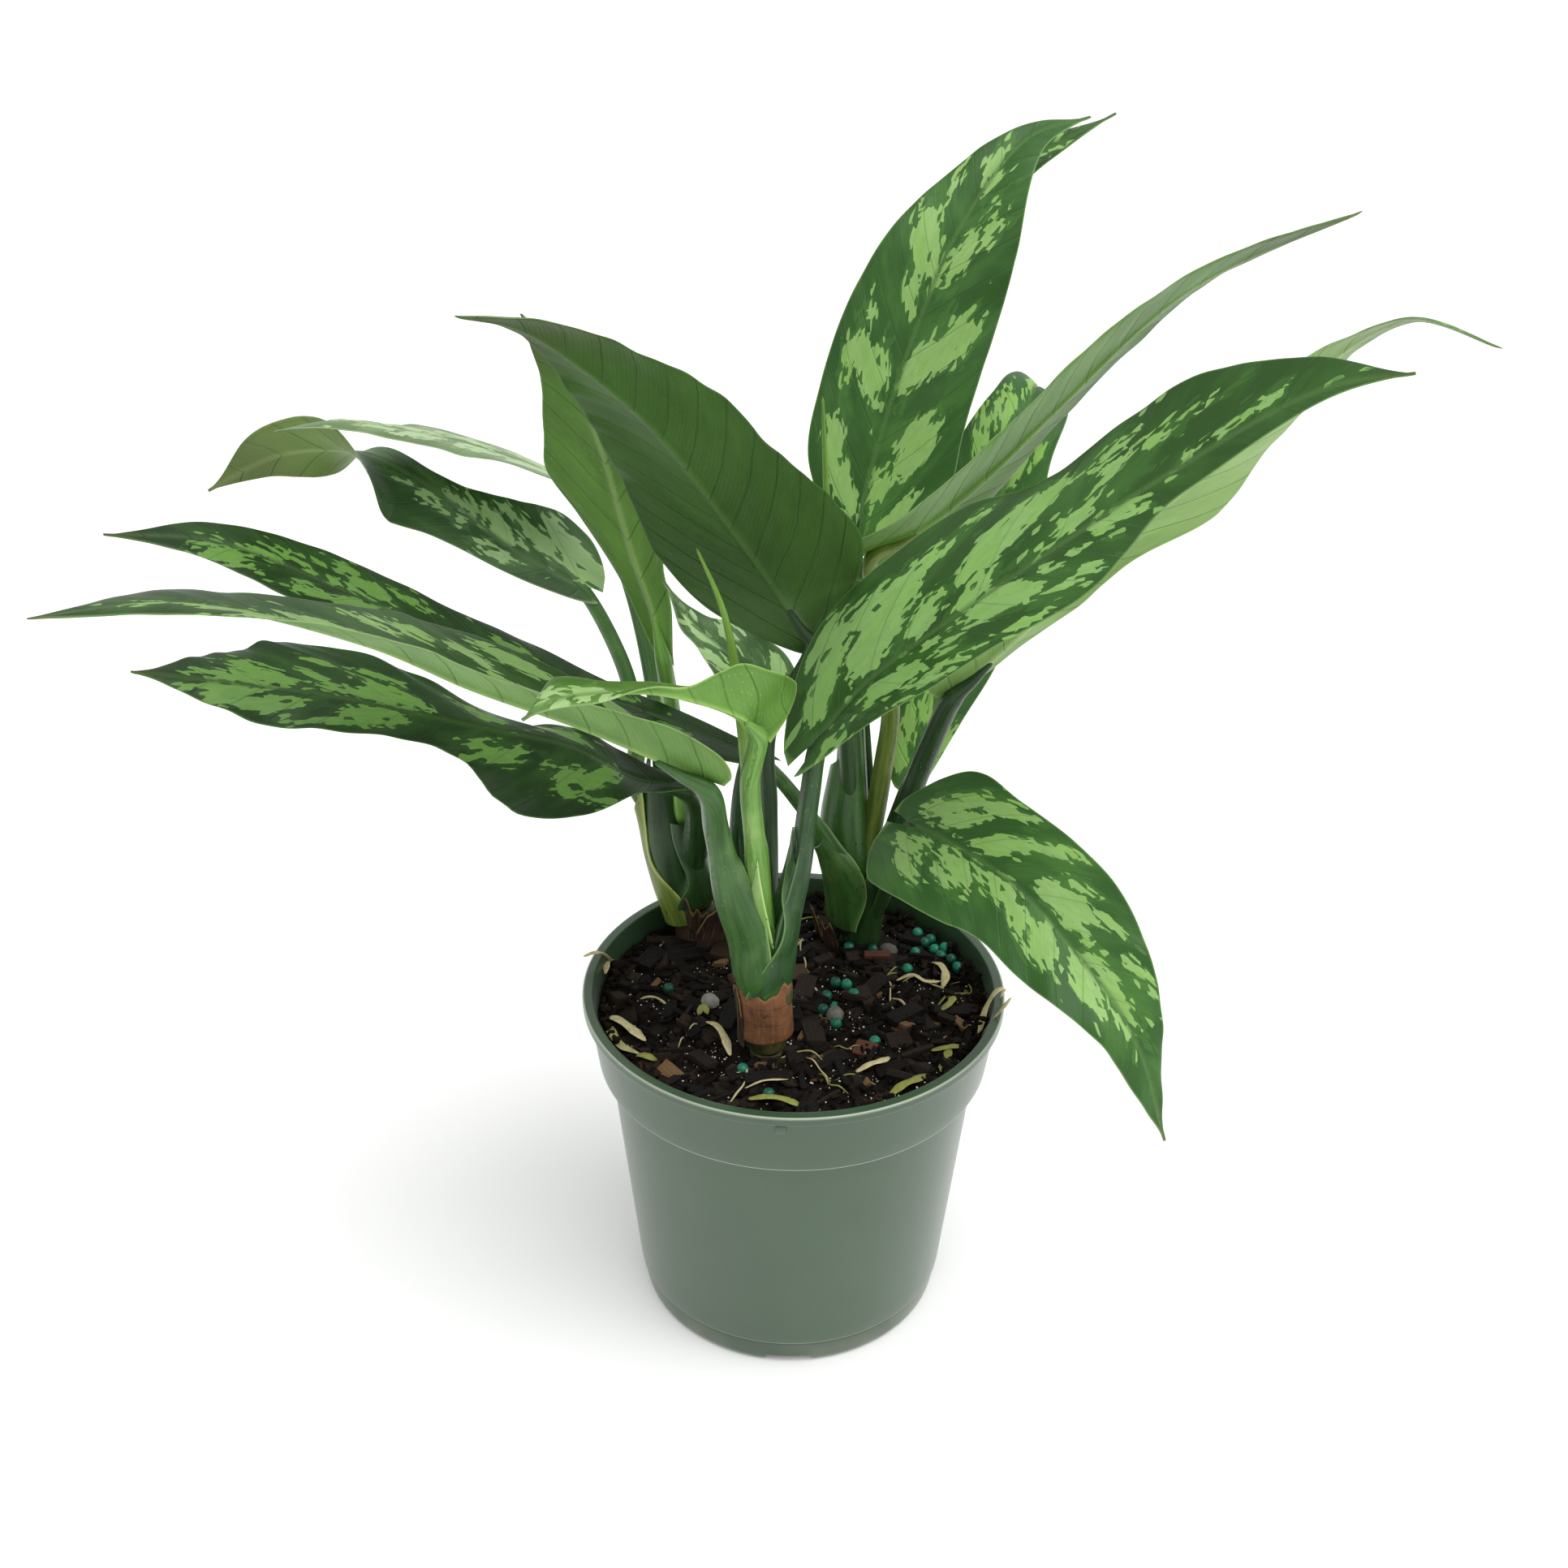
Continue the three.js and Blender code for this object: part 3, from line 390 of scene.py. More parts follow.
        "rib": [(-7, -2, 180), (-12, 2, 189), (-18, 5, 195), (-25, 8, 200), (-34, 14, 210)],
        "face": [(0.2, -0.6, 0.8), (0.2, -0.6, 0.8), (0.2, -0.6, 0.8)],
        "left": [4, 10, 10, 9, 7, 5, 3, 1, 0],
        "right": [4, 10, 11, 9, 7, 5, 3, 1, 0],
        "left_fold": [20, 20, 20],
        "right_fold": [20, 20, 20],
        "curl": (10, 10),
        "wave": (1, 1, 0),
        "back": 3,
        "ruffle": 1.5,
        "marks": [(14, 5, 6, 2.5), (25, 1, 7, 2), (18, -4, 6, 2), (2, 7, 5, 3), (0, -6, 5, 3)],
    },
}

# Tones: dark, middle and pale for a leaf's upper side; plain, vein and keel for its underside; plain, streak
# and light for stalks and canes; dark, middle and light for papery leaf bases
FACES = {
    "deep": ("#2e5020", "#436e30", "#88b166"),
    "bright": ("#33592a", "#4a7a33", "#8ab45e"),
    # Painted shade: a darker copy of the deep tones, for the leaves that lie in the others' shade
    "dim": ("#1d3615", "#2f5021", "#668d45"),
    "young": ("#4b7030", "#648b3f", "#9dba80"),
    "fair": ("#345a28", "#4d7b37", "#91b76c"),
    "dull": ("#2b4621", "#405f31", "#84a566"),
    "grey": ("#34522b", "#5b7d4a", "#9ab982"),
    # Painted sheen: a paler, greyer copy of the green tones, for the arching leaf's light-catching upper side
    "silver": ("#627c4f", "#809b6a", "#a8be92"),
}
BACKS = {
    "green": ("#5e8a33", "#42691f", "#8fae66"),
    "light": ("#6a9045", "#48702f", "#99b768"),
    "pale": ("#86aa5e", "#678b45", "#a9c281"),
    "olive": ("#6c8840", "#526b2e", "#8fa360"),
    "shaded": ("#3f6326", "#2c4b18", "#55793a"),
    "grey": ("#86a464", "#638445", "#adb978"),
    "fresh": ("#6a9740", "#4a7427", "#a0c468"),
}
STALKS = {
    "shaded": ("#2a4722", "#1d3418", "#55784a"),
    "deep": ("#30522a", "#223e1f", "#6b8b55"),
    "green": ("#3f662e", "#2e5022", "#84a55c"),
    "yellow": ("#74873a", "#556a2a", "#b4bd6a"),
    "fresh": ("#719f47", "#588634", "#b2ce84"),
}
CANE_TONES = {
    "front": ("#4d4b22", "#2c3016", "#6c6a34"),
    "left": ("#4a4a2a", "#2c331b", "#6c7340"),
    "right": ("#1c2318", "#121710", "#3a4a2c"),
}
HUSK_TONES = {
    "tan": ("#553722", "#84593a", "#a67e52"),
    "brown": ("#231915", "#3d2b22", "#8d7748"),
}

# Canes, in millimetres: points up the middle, the radius at even steps along them and the length
CANES = {
    "front": {"points": [(-7, -21, 74), (-7, -21, 92), (-7, -21, 106), (-8, -21, 120)],
              "radii": [4.3, 4.6, 6.5, 6.9], "length": 46},
    "left": {"points": [(-25, 33, 74), (-27, 35, 91), (-31, 36, 108), (-35, 36, 132)],
             "radii": [6, 6.3, 5.6, 4.6], "length": 59},
    "right": {"points": [(18, 33, 74), (18, 33, 91), (17, 33, 102), (17, 33, 114)],
              "radii": [5.8, 6, 6.2, 6.2], "length": 40},
}
RING_SPACING = 6.5
RING_DEPTH = 0.07
RING_BREADTH = 0.5
CANE_SWELLING = 0.03
CANE_GRID = (64, 120)

# Papery leaf bases: the middle of the foot and the two heights, the part of the circle that they take, in
# degrees, how they open and lean, and how deep the upper edge is torn
HUSKS = {
    "husk_front": {"place": (-7.2, -21, 98.6, 115.2), "round": (185, 395), "radius": 7.0, "flare": 0.35,
                   "lean": (-0.04, 0), "torn": 0.1, "seed": 3, "tone": "tan"},
    "husk_front_flap": {"place": (-7.6, -21, 96, 113), "round": (165, 222), "radius": 6.9, "flare": 0.7,
                        "lean": (-0.02, 0), "torn": 0.06, "seed": 8, "tone": "brown"},
    "husk_left": {"place": (-27.5, 34.5, 87, 104.5), "round": (215, 345), "radius": 7.3, "flare": 1,
                  "lean": (0.02, 0), "torn": 0.14, "seed": 4, "tone": "brown"},
    "husk_left_outer": {"place": (-25.5, 33, 88, 108), "round": (250, 380), "radius": 8.4, "flare": 3.4,
                        "lean": (0.2, 0.03), "torn": 0.16, "seed": 9, "tone": "brown"},
    "husk_right": {"place": (16.5, 33, 86, 101), "round": (175, 250), "radius": 7.6, "flare": 1.5,
                   "lean": (-0.16, -0.05), "torn": 0.2, "seed": 5, "tone": "brown"},
}
HUSK_RING_SPACING = 5.2
HUSK_THICKNESS = 0.3
HUSK_GRID = (96, 32)

# Sheaths where petioles wrap a stem: points up the middle, and at even steps along them the radius and how
# far each side reaches round, in degrees from the front and above 0 to the right. Foot is where along the
# points each side starts and top where it ends, from 0 to 1.
SHEATHS = {
    "sheath_front_foot": {
        "path": [(-7.5, -21, 108.5), (-7.8, -21, 117), (-8.2, -21.4, 124)],
        "radii": [6.7, 7.0, 7.2],
        "left": [-170, -170, -170],
        "right": [160, 160, 160],
        "foot": (0.1, 0),
        "top": (1, 1),
        "tone": "green",
    },
    "sheath_long_left": {
        "path": [(-8.1, -21.2, 121.6), (-8.9, -21.8, 127), (-10.5, -23.3, 133), (-13, -26.6, 141),
            (-15.6, -30.4, 149), (-17.3, -34, 157), (-18.6, -37.2, 164)],
        "radii": [7.4, 6.9, 5.6, 4, 3.3, 3, 2.8],
        "left": [-170, -170, -165, -165, -165, -165, -165],
        "right": [20, 24, 40, 70, 88, 94, 98],
        "foot": (0, 0),
        "top": (0.62, 1),
        "tone": "green",
    },
    "sheath_front_right": {
        "path": [(-7.6, -21.2, 112.6), (-7.5, -21.3, 119), (-7, -21.5, 126), (-4.6, -22.6, 133),
            (-1.5, -25, 143), (0.9, -27.2, 153), (2.2, -28.6, 164)],
        "radii": [7.5, 7.5, 6.7, 4.6, 3.2, 2.8, 2.6],
        "left": [-38, -8, 14, 6, -50, -86, -96],
        "right": [150, 150, 150, 150, 150, 150, 150],
        "foot": (0, 0.28),
        "top": (1, 0.6),
        "tone": "deep",
    },
    "sheath_young": {
        "path": [(-8.2, -22, 124), (-8.6, -24.6, 134), (-9.4, -28.6, 146), (-10, -32.6, 160)],
        "radii": [4.6, 3.8, 2.7, 2.3],
        "left": [-130, -130, -130, -130],
        "right": [40, 34, 26, 14],
        "foot": (0, 0),
        "top": (0.5, 1),
        "tone": "fresh",
    },
    "sheath_arching": {
        "path": [(-31.6, 34.8, 105.5), (-33.2, 34.8, 113), (-35.2, 35.2, 123), (-36.6, 37, 134),
            (-38, 40.5, 147)],
        "radii": [6.6, 6.7, 6.1, 5, 3.2],
        "left": [-12, -70, -110, -130, -130],
        "right": [4, 44, 66, 84, 100],
        "foot": (0, 0),
        "top": (1, 0.8),
        "tone": "shaded",
    },
    "sheath_rear_upright": {
        "path": [(-29.6, 34, 103.5), (-30.4, 34, 112), (-31, 33.4, 121), (-31.5, 32, 131)],
        "radii": [6.7, 6.6, 5.3, 3.2],
        "left": [-30, 6, -14, -50],
        "right": [120, 120, 110, 90],
        "foot": (0, 0),
        "top": (1, 1),
        "tone": "shaded",
    },
    "sheath_rear_twisted": {
        "path": [(-30.2, 34.6, 98), (-32.4, 34.8, 106), (-35.6, 35.4, 116), (-39.8, 36.4, 127),
            (-43.6, 38, 138)],
        "radii": [6.8, 6.9, 6, 3.9, 2.8],
        "left": [-150, -150, -150, -150, -150],
        "right": [30, 2, -34, -16, 20],
        "foot": (0, 0),
        "top": (0.8, 1),
        "tone": "yellow",
    },
    "sheath_upright": {
        "path": [(15, 33, 110), (13.9, 33, 120), (13.6, 33, 131), (14, 33.2, 143), (14.8, 34.4, 157),
            (15, 36, 170)],
        "radii": [6.4, 6.9, 6.2, 4.6, 3.2, 2.1],
        "left": [-150, -150, -145, -140, -140, -140],
        "right": [90, 100, 96, 92, 90, 90],
        "foot": (0, 0),
        "top": (0.6, 1),
        "tone": "green",
    },
    "sheath_upper_left": {
        "path": [(16.2, 33, 99), (15.4, 31.2, 109), (12.8, 27.4, 118), (8.2, 21, 129), (4.4, 16, 138)],
        "radii": [7, 6.7, 4.9, 2.8, 2],
        "left": [-120, -140, -145, -150, -150],
        "right": [10, 42, 70, 90, 110],
        "foot": (0.06, 0),
        "top": (0.8, 1),
        "tone": "green",
    },
    "sheath_drooping": {
        "path": [(18.4, 33, 88), (19.2, 32.4, 98), (21, 31, 107), (24.6, 28.8, 119)],
        "radii": [6.3, 5.8, 4.8, 3],
        "left": [-60, -50, -40, -60],
        "right": [110, 110, 110, 110],
        "foot": (0, 0),
        "top": (1, 1),
        "tone": "shaded",
    },
}

SHEATH_THICKNESS = 0.5
SHEATH_MARGIN_HEIGHT = 0.35
SHEATH_MARGIN_BREADTH = 0.7
SHEATH_UNEVEN = 0.1
SHEATH_GRID = (64, 48)

# Rolled young leaves: points up the middle to the tip and the radius at even steps
SPEARS = {
    "spear_right": {"points": [(16, 34, 106), (15, 31, 134), (11, 22, 190), (7, 20, 224), (5, 20, 256)],
                    "radii": [2.6, 2.4, 1.7, 1.2, 0.3]},
    "spear_front": {"points": [(-8, -20, 112), (-10, -28, 156), (-13, -33, 194), (-17, -36, 224),
                               (-23, -36, 240)],
                    "radii": [2.2, 2, 1.8, 1.3, 0.3]},
}
SPEAR_GRID = (48, 110)
ROLL_TURNS = 0.35
ROLL_START = 0.1
ROLL_STEP = 0.12

# Loose bits on the soil, each at its place, larger bark pieces with their turn in degrees and their size, and
# straws, each with the points along it, its radius and its shade
GRAINS = [
    (-34.2, 4.2), (-13.1, -29.7), (-6.2, -40), (21.6, -17.4), (11.4, -11.3), (8, -5.5), (11.2, -2),
    (9.1, 2), (14.6, 6.2), (16.4, 1.6), (11.6, 6.5), (31.8, 15.7), (15.7, 25.5), (22.4, 24.3),
    (34.6, 25.2), (37.6, 29.6), (40.2, 26.6), (41.8, 23.4), (44.4, 20.6), (35.6, 33), (39.2, 30.4),
    (43, 26), (46, 17.6),
]
GRAIN_SIZE = (3.2, 3.2, 3.2)
PEBBLES = [(26.8, 25.5), (-22.5, -2.9), (11.2, -8.4)]
PEBBLE_SIZE = (5.4, 4.6, 4.2)
CHIP_LIFT = 0.6
CHIPS = [
    (-27.5, 25.5, 18, 17, 9, 3.4), (-18, 21, -20, 10, 6, 3), (-6.7, -33.6, 8, 11, 3.6, 1.8),
    (35, 31.5, -20, 6, 4, 3), (5.3, -15.5, 100, 9, 5, 3), (-40, 20, 60, 9, 5, 2), (30, -25, 130, 9, 4, 2),
    (22, 6, 60, 12, 4, 2.4), (-17, -8, 76, 13, 4, 2.6), (3, 4, 80, 12, 5, 2.6), (30, -6, 40, 10, 4, 2.2),
    (-2, 12, 10, 11, 6, 3),
]
STRAWS = [
    ([(-50.2, -6.9, 91.5), (-47.8, -9.4, 93), (-43.8, -13.4, 93.2), (-38.9, -18.3, 92)], 1.7, 0.1),
    ([(-49.6, -9.2, 91.5), (-47.9, -15.6, 92.2), (-44.9, -21.3, 92.6), (-40.2, -25, 93)], 1.5, 0.5),
    ([(-40.6, -24, 92), (-38, -26.4, 93.4), (-35.4, -26.2, 92)], 1.9, 0.75),
    ([(-23.7, -10.7, 93), (-20.6, -13.9, 94.4), (-18.1, -19.1, 94.2), (-16.4, -25, 92.6)], 1.2, 0.15),
    ([(-25.6, -7.6, 92.8), (-24.2, -5.4, 94.6), (-23, -8, 93.4)], 1, 0.6),
    ([(-11.6, -41.4, 91.6), (-6.6, -41.8, 92.8), (-1.9, -42.8, 92.8), (3.4, -44.8, 91.6)], 1.5, 0.8),
    ([(-12.4, -37.6, 92), (-7.7, -36.4, 93.6), (-1.2, -35.2, 93.2)], 0.5, 0.2),
    ([(16, -30.6, 92), (20, -28.9, 93.6), (22.5, -27.5, 93.4), (25.4, -23.8, 92)], 1.2, 0.3),
    ([(24.6, -39, 91.4), (28.5, -36, 92.8), (31.5, -34.2, 92.8), (34.6, -30.2, 91.6)], 1.5, 0.85),
    ([(36.2, -20.4, 91.6), (40.4, -20.4, 92.8), (44.6, -18, 91.6)], 1.3, 0.7),
    ([(41.2, -20.2, 92.4), (40.1, -24.3, 92.4), (38.4, -28.8, 91)], 1.2, 0.8),
    ([(39.2, 20.6, 91.4), (41.2, 16.8, 93.2), (42.3, 12.7, 93), (41.2, 8, 91.6)], 1.2, 0.45),
    ([(28.4, 10.6, 92), (33, 11.6, 93.4), (36.5, 8.9, 93.2), (41, 10.9, 91.8)], 0.9, 0.4),
    ([(39, -3.4, 91.6), (42.3, -1.3, 93), (44.2, 4.6, 91.6)], 1.1, 0.6),
    ([(49.4, -13.2, 91), (51.4, -9.3, 97.6), (54, -7.2, 101.4), (56.2, -5.8, 101.4), (55.6, -5.4, 98)],
     0.9, 0.1),
    ([(49.6, -14.4, 90), (52.2, -14.2, 96.4), (55.4, -13.6, 101), (57.6, -11.2, 102.4)], 0.8, 0.2),
    ([(-57.4, 6, 102), (-54.6, 8, 102), (-52.6, 12, 99), (-50.4, 16, 93)], 1.1, 0.15),
    ([(-50, 20, 91), (-51.6, 15, 94.6), (-51.8, 8, 95)], 0.9, 0.25),
]
STRAW_THINNESS = 0.3

# Loose roots: how many, how long their steps are, how far they rise and bend, and how thick they are
LOOSE_ROOTS = 26
ROOT_STEPS = (2, 5)
ROOT_LIFTS = (0.6, 1.8)
ROOT_BEND = 0.6
ROOT_RADII = (0.15, 0.4)
ROOT_TAPER = (0.5, 1, 0.8, 1.05, 0.3)

# Scattered bits: how many, the smallest and the largest size, how far they tilt and how deep they sink
SCATTERED_BARK = (620, ((2, 0.9, 0.5), (10, 4.6, 2)), 0.5, 0.25)
SCATTERED_CRUMBS = (1100, ((0.7, 0.6, 0.5), (3, 2.4, 1.8)), 0.6, 0.1)
SCATTERED_PERLITE = (1900, ((0.2, 0.2, 0.2), (0.95, 0.8, 0.7)), 0.6, 0.1)
SOIL_REACH = 50
SOIL_SEED = 11
ROOT_SEED = 5

# Crumbs piled against the wall, less so round the bare side, which is a direction in degrees
PILE = {"count": 420, "reach": (48.5, 52), "height": 5.5, "bare": 135, "gap": 50,
        "sizes": ((1, 3.6), (0.9, 2.4), (0.8, 2))}

# A leaf's surface: patch edges in millimetres, the sheath's edges on the petiole, and the grid of the blade
MARK_SEED = 70
MARK_SPACING = 24
PATCH_WANDER = 1.3
PATCH_TEAR = 1.1
PATCH_SHRINK = 0.35
PATCH_CELL = (0.42, 1.05, 1)
THREAD_SPACING = 1.5
SHEATH_ANGLE = 0.85
SHEATH_SHARE = 0.55
PETIOLE_SUNK = 9
PETIOLE_GRID = (32, 100)
STREAKS = (0.05, 2.4, 0)
PETIOLE_TOP_DEPTHS = (0.85, 0.75, 0.45)
UNEVEN = 0.3
END_CROWDING = 0.4
BLADE_GRID = (96, 120)

# The tab below the pot's lip, and the heights of painted highlight lines on the steps outside, each with how
# much
TAB_X = -3
TAB_SIZE = (2.6, 1.2, 2.8)
BAND_HEIGHT = POT_HEIGHT - LIP_HEIGHT - BAND_BOTTOM
PAINTED_EDGE_HIGHLIGHTS = ((BAND_BOTTOM + 0.75, 0.6), (8.5, 0.2))

# Camera, floor and lights: places in metres and angles in degrees
CAMERA_LENS = 44.72
CAMERA_SENSOR = 36
CAMERA_PLACE = (-0.0032, -0.4323, 0.4053)
CAMERA_DOWN = 29.55
CAMERA_ROLL = 0.65
FLOOR_RADIUS = 8
MAIN_LIGHT_PLACE = (0.7, -0.8, 3)
MAIN_LIGHT_SPREAD = 50
SIDE_LIGHT_PLACE = (2.5, -0.6, 1.9)
SIDE_LIGHT_SPREAD = 40


def spline(points, samples=600):
    """A smooth line through points, as places on it and how far along it each lies."""
    corners = np.array(points, float)
    corners = np.vstack([2 * corners[0] - corners[1], corners, 2 * corners[-1] - corners[-2]])
    spans = len(corners) - 3
    run = np.linspace(0, spans, samples + 1)
    i = np.minimum(run.astype(int), spans - 1)
    t = (run - i)[:, None]
    a, b, c, d = corners[i], corners[i + 1], corners[i + 2], corners[i + 3]
    steps = (b - a, c - b, d - c)
    before, here, after = (np.linalg.norm(step, axis=1, keepdims=True) ** 0.5 for step in steps)
    leaving = ((b - a) / before - (c - a) / (before + here) + (c - b) / here) * here
    arriving = ((c - b) / here - (d - b) / (here + after) + (d - c) / after) * here
    cubic = (2 * (b - c) + leaving + arriving) * t**3
    square = (3 * (c - b) - 2 * leaving - arriving) * t**2
    places = b + leaving * t + square + cubic
    lengths = np.linalg.norm(np.diff(places, axis=0), axis=1)
    return places, np.concatenate([[0], np.cumsum(lengths)])


def on_line(line, s):
    places, run = line
    return np.stack([np.interp(s * run[-1], run, places[:, k]) for k in range(3)], -1)


def heading(line, s):
    places, run = line
    tangents = np.gradient(places, axis=0)
    found = np.stack([np.interp(s * run[-1], run, tangents[:, k]) for k in range(3)], -1)
    return unit(found)


def unit(vectors):
    return vectors / np.linalg.norm(vectors, axis=-1, keepdims=True)


def stepwise(values, s):
    """The value at s, from 0 to 1, of a list whose numbers or points lie at even steps."""
    values = np.array(values, float)
    x = s * (len(values) - 1)
    steps = np.arange(len(values))
    if values.ndim == 1:
        return np.interp(x, steps, values)
    return np.stack([np.interp(x, steps, values[:, k]) for k in range(values.shape[1])], -1)


def smoothly(values, s):
    """The value at s of a smooth line through values at even steps."""
    values = np.array(values, float)
    values = np.concatenate([values[:1], values, values[-1:]])
    spans = len(values) - 3
    i = np.minimum((s * spans).astype(int), spans - 1)
    t = s * spans - i
    a, b, c, d = values[i], values[i + 1], values[i + 2], values[i + 3]
    leaving = (c - a) / 2
    arriving = (d - b) / 2
    cubic = (2 * (b - c) + leaving + arriving) * t**3
    return cubic + (3 * (c - b) - 2 * leaving - arriving) * t**2 + leaving * t + b


def square_to(look, tangent):
    """The part of a look that is square to the tangent, and the side that lies to its left."""
    face = unit(look - tangent * (look * tangent).sum(-1, keepdims=True))
    return face, np.cross(face, tangent)


def lumps(points, size, seed):
    """A gentle unevenness from -1 to 1 at each point, as the sum of a few waves of about a size."""
    rng = np.random.default_rng(seed)
    total = np.zeros(len(points))
    for _ in range(6):
        way = unit(rng.normal(size=3)) * 2 * math.pi / (size * rng.uniform(0.7, 1.5))
        total += np.sin(points @ way + rng.uniform(0, 2 * math.pi))
    return total / 3


def half_width(widths, s):
    narrowest = BLADE_BASE_HALF_WIDTH + (BLADE_TIP_HALF_WIDTH - BLADE_BASE_HALF_WIDTH) * s
    rounding = np.sqrt(1 - (1 - np.minimum(1, s / ROUNDED_SHARE)) ** 2)
    return narrowest + np.maximum(0, smoothly(widths, s) - narrowest) * rounding


def blade_point(leaf, line, s, v):
    """The middle of the blade at s along the rib and v across it, from -1 to 1, the direction square to it,
    and the half width there."""
    tangent = heading(line, s)
    face, side = square_to(stepwise(leaf["face"], s), tangent)
    side = side * np.where(v < 0, -1, 1)[:, None]
    right = v < 0
    a = np.abs(v)
    width = np.where(right, half_width(leaf["right"], s), half_width(leaf["left"], s))
    fold = np.radians(np.where(right, stepwise(leaf["right_fold"], s), stepwise(leaf["left_fold"], s)))
    curl = np.radians(np.where(right, leaf["curl"][1], leaf["curl"][0]))
    turned = fold - curl * a
    out = width * (np.sin(fold) - np.sin(turned)) / curl
    up = width * (np.cos(turned) - np.cos(fold)) / curl
    height, count, phase = leaf["wave"]
    wave = height * a * a * np.sin(math.pi * s) * np.sin(2 * math.pi * (count * s + phase * np.sign(v)))
    back = leaf["back"] * a * a * np.exp(-s / LOBE_SHARE)
    normal = face * np.cos(turned)[:, None] - side * np.sin(turned)[:, None]
    place = on_line(line, s) + side * out[:, None] + face * up[:, None]
    return place + normal * wave[:, None] - tangent * back[:, None], normal, width


def select_only(piece):
    bpy.ops.object.select_all(action="DESELECT")
    piece.select_set(True)
    bpy.context.view_layer.objects.active = piece


def added(make, **settings):
    """Adds a primitive by the operator that makes it, with nothing else selected."""
    bpy.ops.object.select_all(action="DESELECT")
    make(**settings)
    return bpy.context.object


def note(piece, key, values):
    """Keeps a number or a vector for each point of a piece, for its material to read."""
    kind = "FLOAT" if values.ndim == 1 else "FLOAT_VECTOR"
    attribute = piece.data.attributes.new(key, kind, "POINT")
    attribute.data.foreach_set("value" if values.ndim == 1 else "vector", values.astype(np.float32).ravel())


def corners_of(piece):
    flat = np.empty(3 * len(piece.data.vertices))
    piece.data.vertices.foreach_get("co", flat)
    return flat.reshape(-1, 3)


def sheet(name, grid, form):
    """Lays a grid, whose two directions run from 0 to 1, on a form and keeps what the form notes."""
    across, along = grid
    piece = added(bpy.ops.mesh.primitive_grid_add, x_subdivisions=across, y_subdivisions=along, size=1)
    piece.name = piece.data.name = name
    u, s = np.clip(corners_of(piece)[:, :2].T + 0.5, 0, 1)
    points, notes = form(u, s)
    piece.data.vertices.foreach_set("co", (points * MM).ravel())
    for key, values in notes.items():
        note(piece, key, values)
    return piece


def weld(piece, sharp):
    """Closes a piece where its edges meet, turns its faces outwards and smooths all but its sharp edges."""
    select_only(piece)
    bpy.ops.object.mode_set(mode="EDIT")
    bpy.ops.mesh.select_all(action="SELECT")
    bpy.ops.mesh.remove_doubles(threshold=WELD)
    bpy.ops.mesh.normals_make_consistent(inside=False)
    bpy.ops.object.mode_set(mode="OBJECT")
    bpy.ops.object.shade_smooth_by_angle(angle=math.radians(sharp))


def apply_modifier(piece, kind, **settings):
    modifier = piece.modifiers.new(kind.title(), kind)
    for key, value in settings.items():
        setattr(modifier, key, value)
    select_only(piece)
    bpy.ops.object.modifier_apply(modifier=modifier.name)


def join(name, pieces):
    select_only(pieces[0])
    for piece in pieces:
        piece.select_set(True)
    bpy.ops.object.join()
    joined = bpy.context.object
    joined.name = joined.data.name = name
    return joined


def copies(name, models, places):
    """Copies models in turn to places, each given by one matrix, joins the copies and removes the models."""
    made = []
    for i, place in enumerate(places):
        twin = models[i % len(models)].copy()
        twin.data = twin.data.copy()
        twin.data.transform(place)
        note(twin, "shade", np.full(len(twin.data.vertices), (i * 0.618) % 1))
        bpy.context.collection.objects.link(twin)
        made.append(twin)
    for model in models:
        bpy.data.objects.remove(model)
    return join(name, made)


def laid_out(x, y, z, turn, tilt, size):
    """The matrix that stretches a model to its size in millimetres, tilts and turns it and sets it down."""
    stretch = Matrix.Diagonal((*(k * MM for k in size), 1))
    spin = Matrix.Rotation(turn, 4, "Z") @ Matrix.Rotation(tilt, 4, "X")
    return Matrix.Translation((x * MM, y * MM, z * MM)) @ spin @ stretch


def settle(piece, material=None, stands_for=None):
    """Gives a finished piece its material and its place on the plant."""
    if material:
        piece.data.materials.clear()
        piece.data.materials.append(material)
    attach(piece, BODY)
    if stands_for:
        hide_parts(stands_for)


def tube(name, points, radii, look, grid, shape=None, number=0):
    """A closed stalk along points. Its shape may change the radius by how far round and how far along it is.
    It notes, in millimetres, how far along and how far round from the look each point lies."""
    line = spline(points)
    length = line[1][-1]

    def form(u, s):
        tangent = heading(line, s)
        face, side = square_to(np.broadcast_to(np.array(look, float), tangent.shape), tangent)
        angle = 2 * math.pi * (u - 0.5)
        radius = stepwise(radii, s)
        if shape:
            radius = radius * shape(angle, s)
        ends = np.sqrt(np.clip(np.minimum(s, 1 - s) * length / radius, 0, 1))
        out = face * np.cos(angle)[:, None] + side * np.sin(angle)[:, None]
        points = on_line(line, s) + out * (radius * ends)[:, None]
        place = np.stack([s * length + LEAF_STEP * number, angle, s], -1)
        return points, {"lie": place}

    piece = sheet(name, grid, form)
    weld(piece, sharp=60)
    return piece


def linear(code):
    """The colour that a hex code stands for, in linear light."""
    parts = [int(code[i : i + 2], 16) / 255 for i in (1, 3, 5)]
    return tuple(p / 12.92 if p <= 0.04045 else ((p + 0.055) / 1.055) ** 2.4 for p in parts)


def opaque(colour):
    return (*colour[:3], 1)


def scaled(colour, factor):
    return tuple(min(1, part * factor) for part in colour[:3])


def lush(colour):
    """The same colour a little yellower and deeper."""
    red, green, blue = colour[:3]
    return (red * 0.9, green, blue * 0.68)


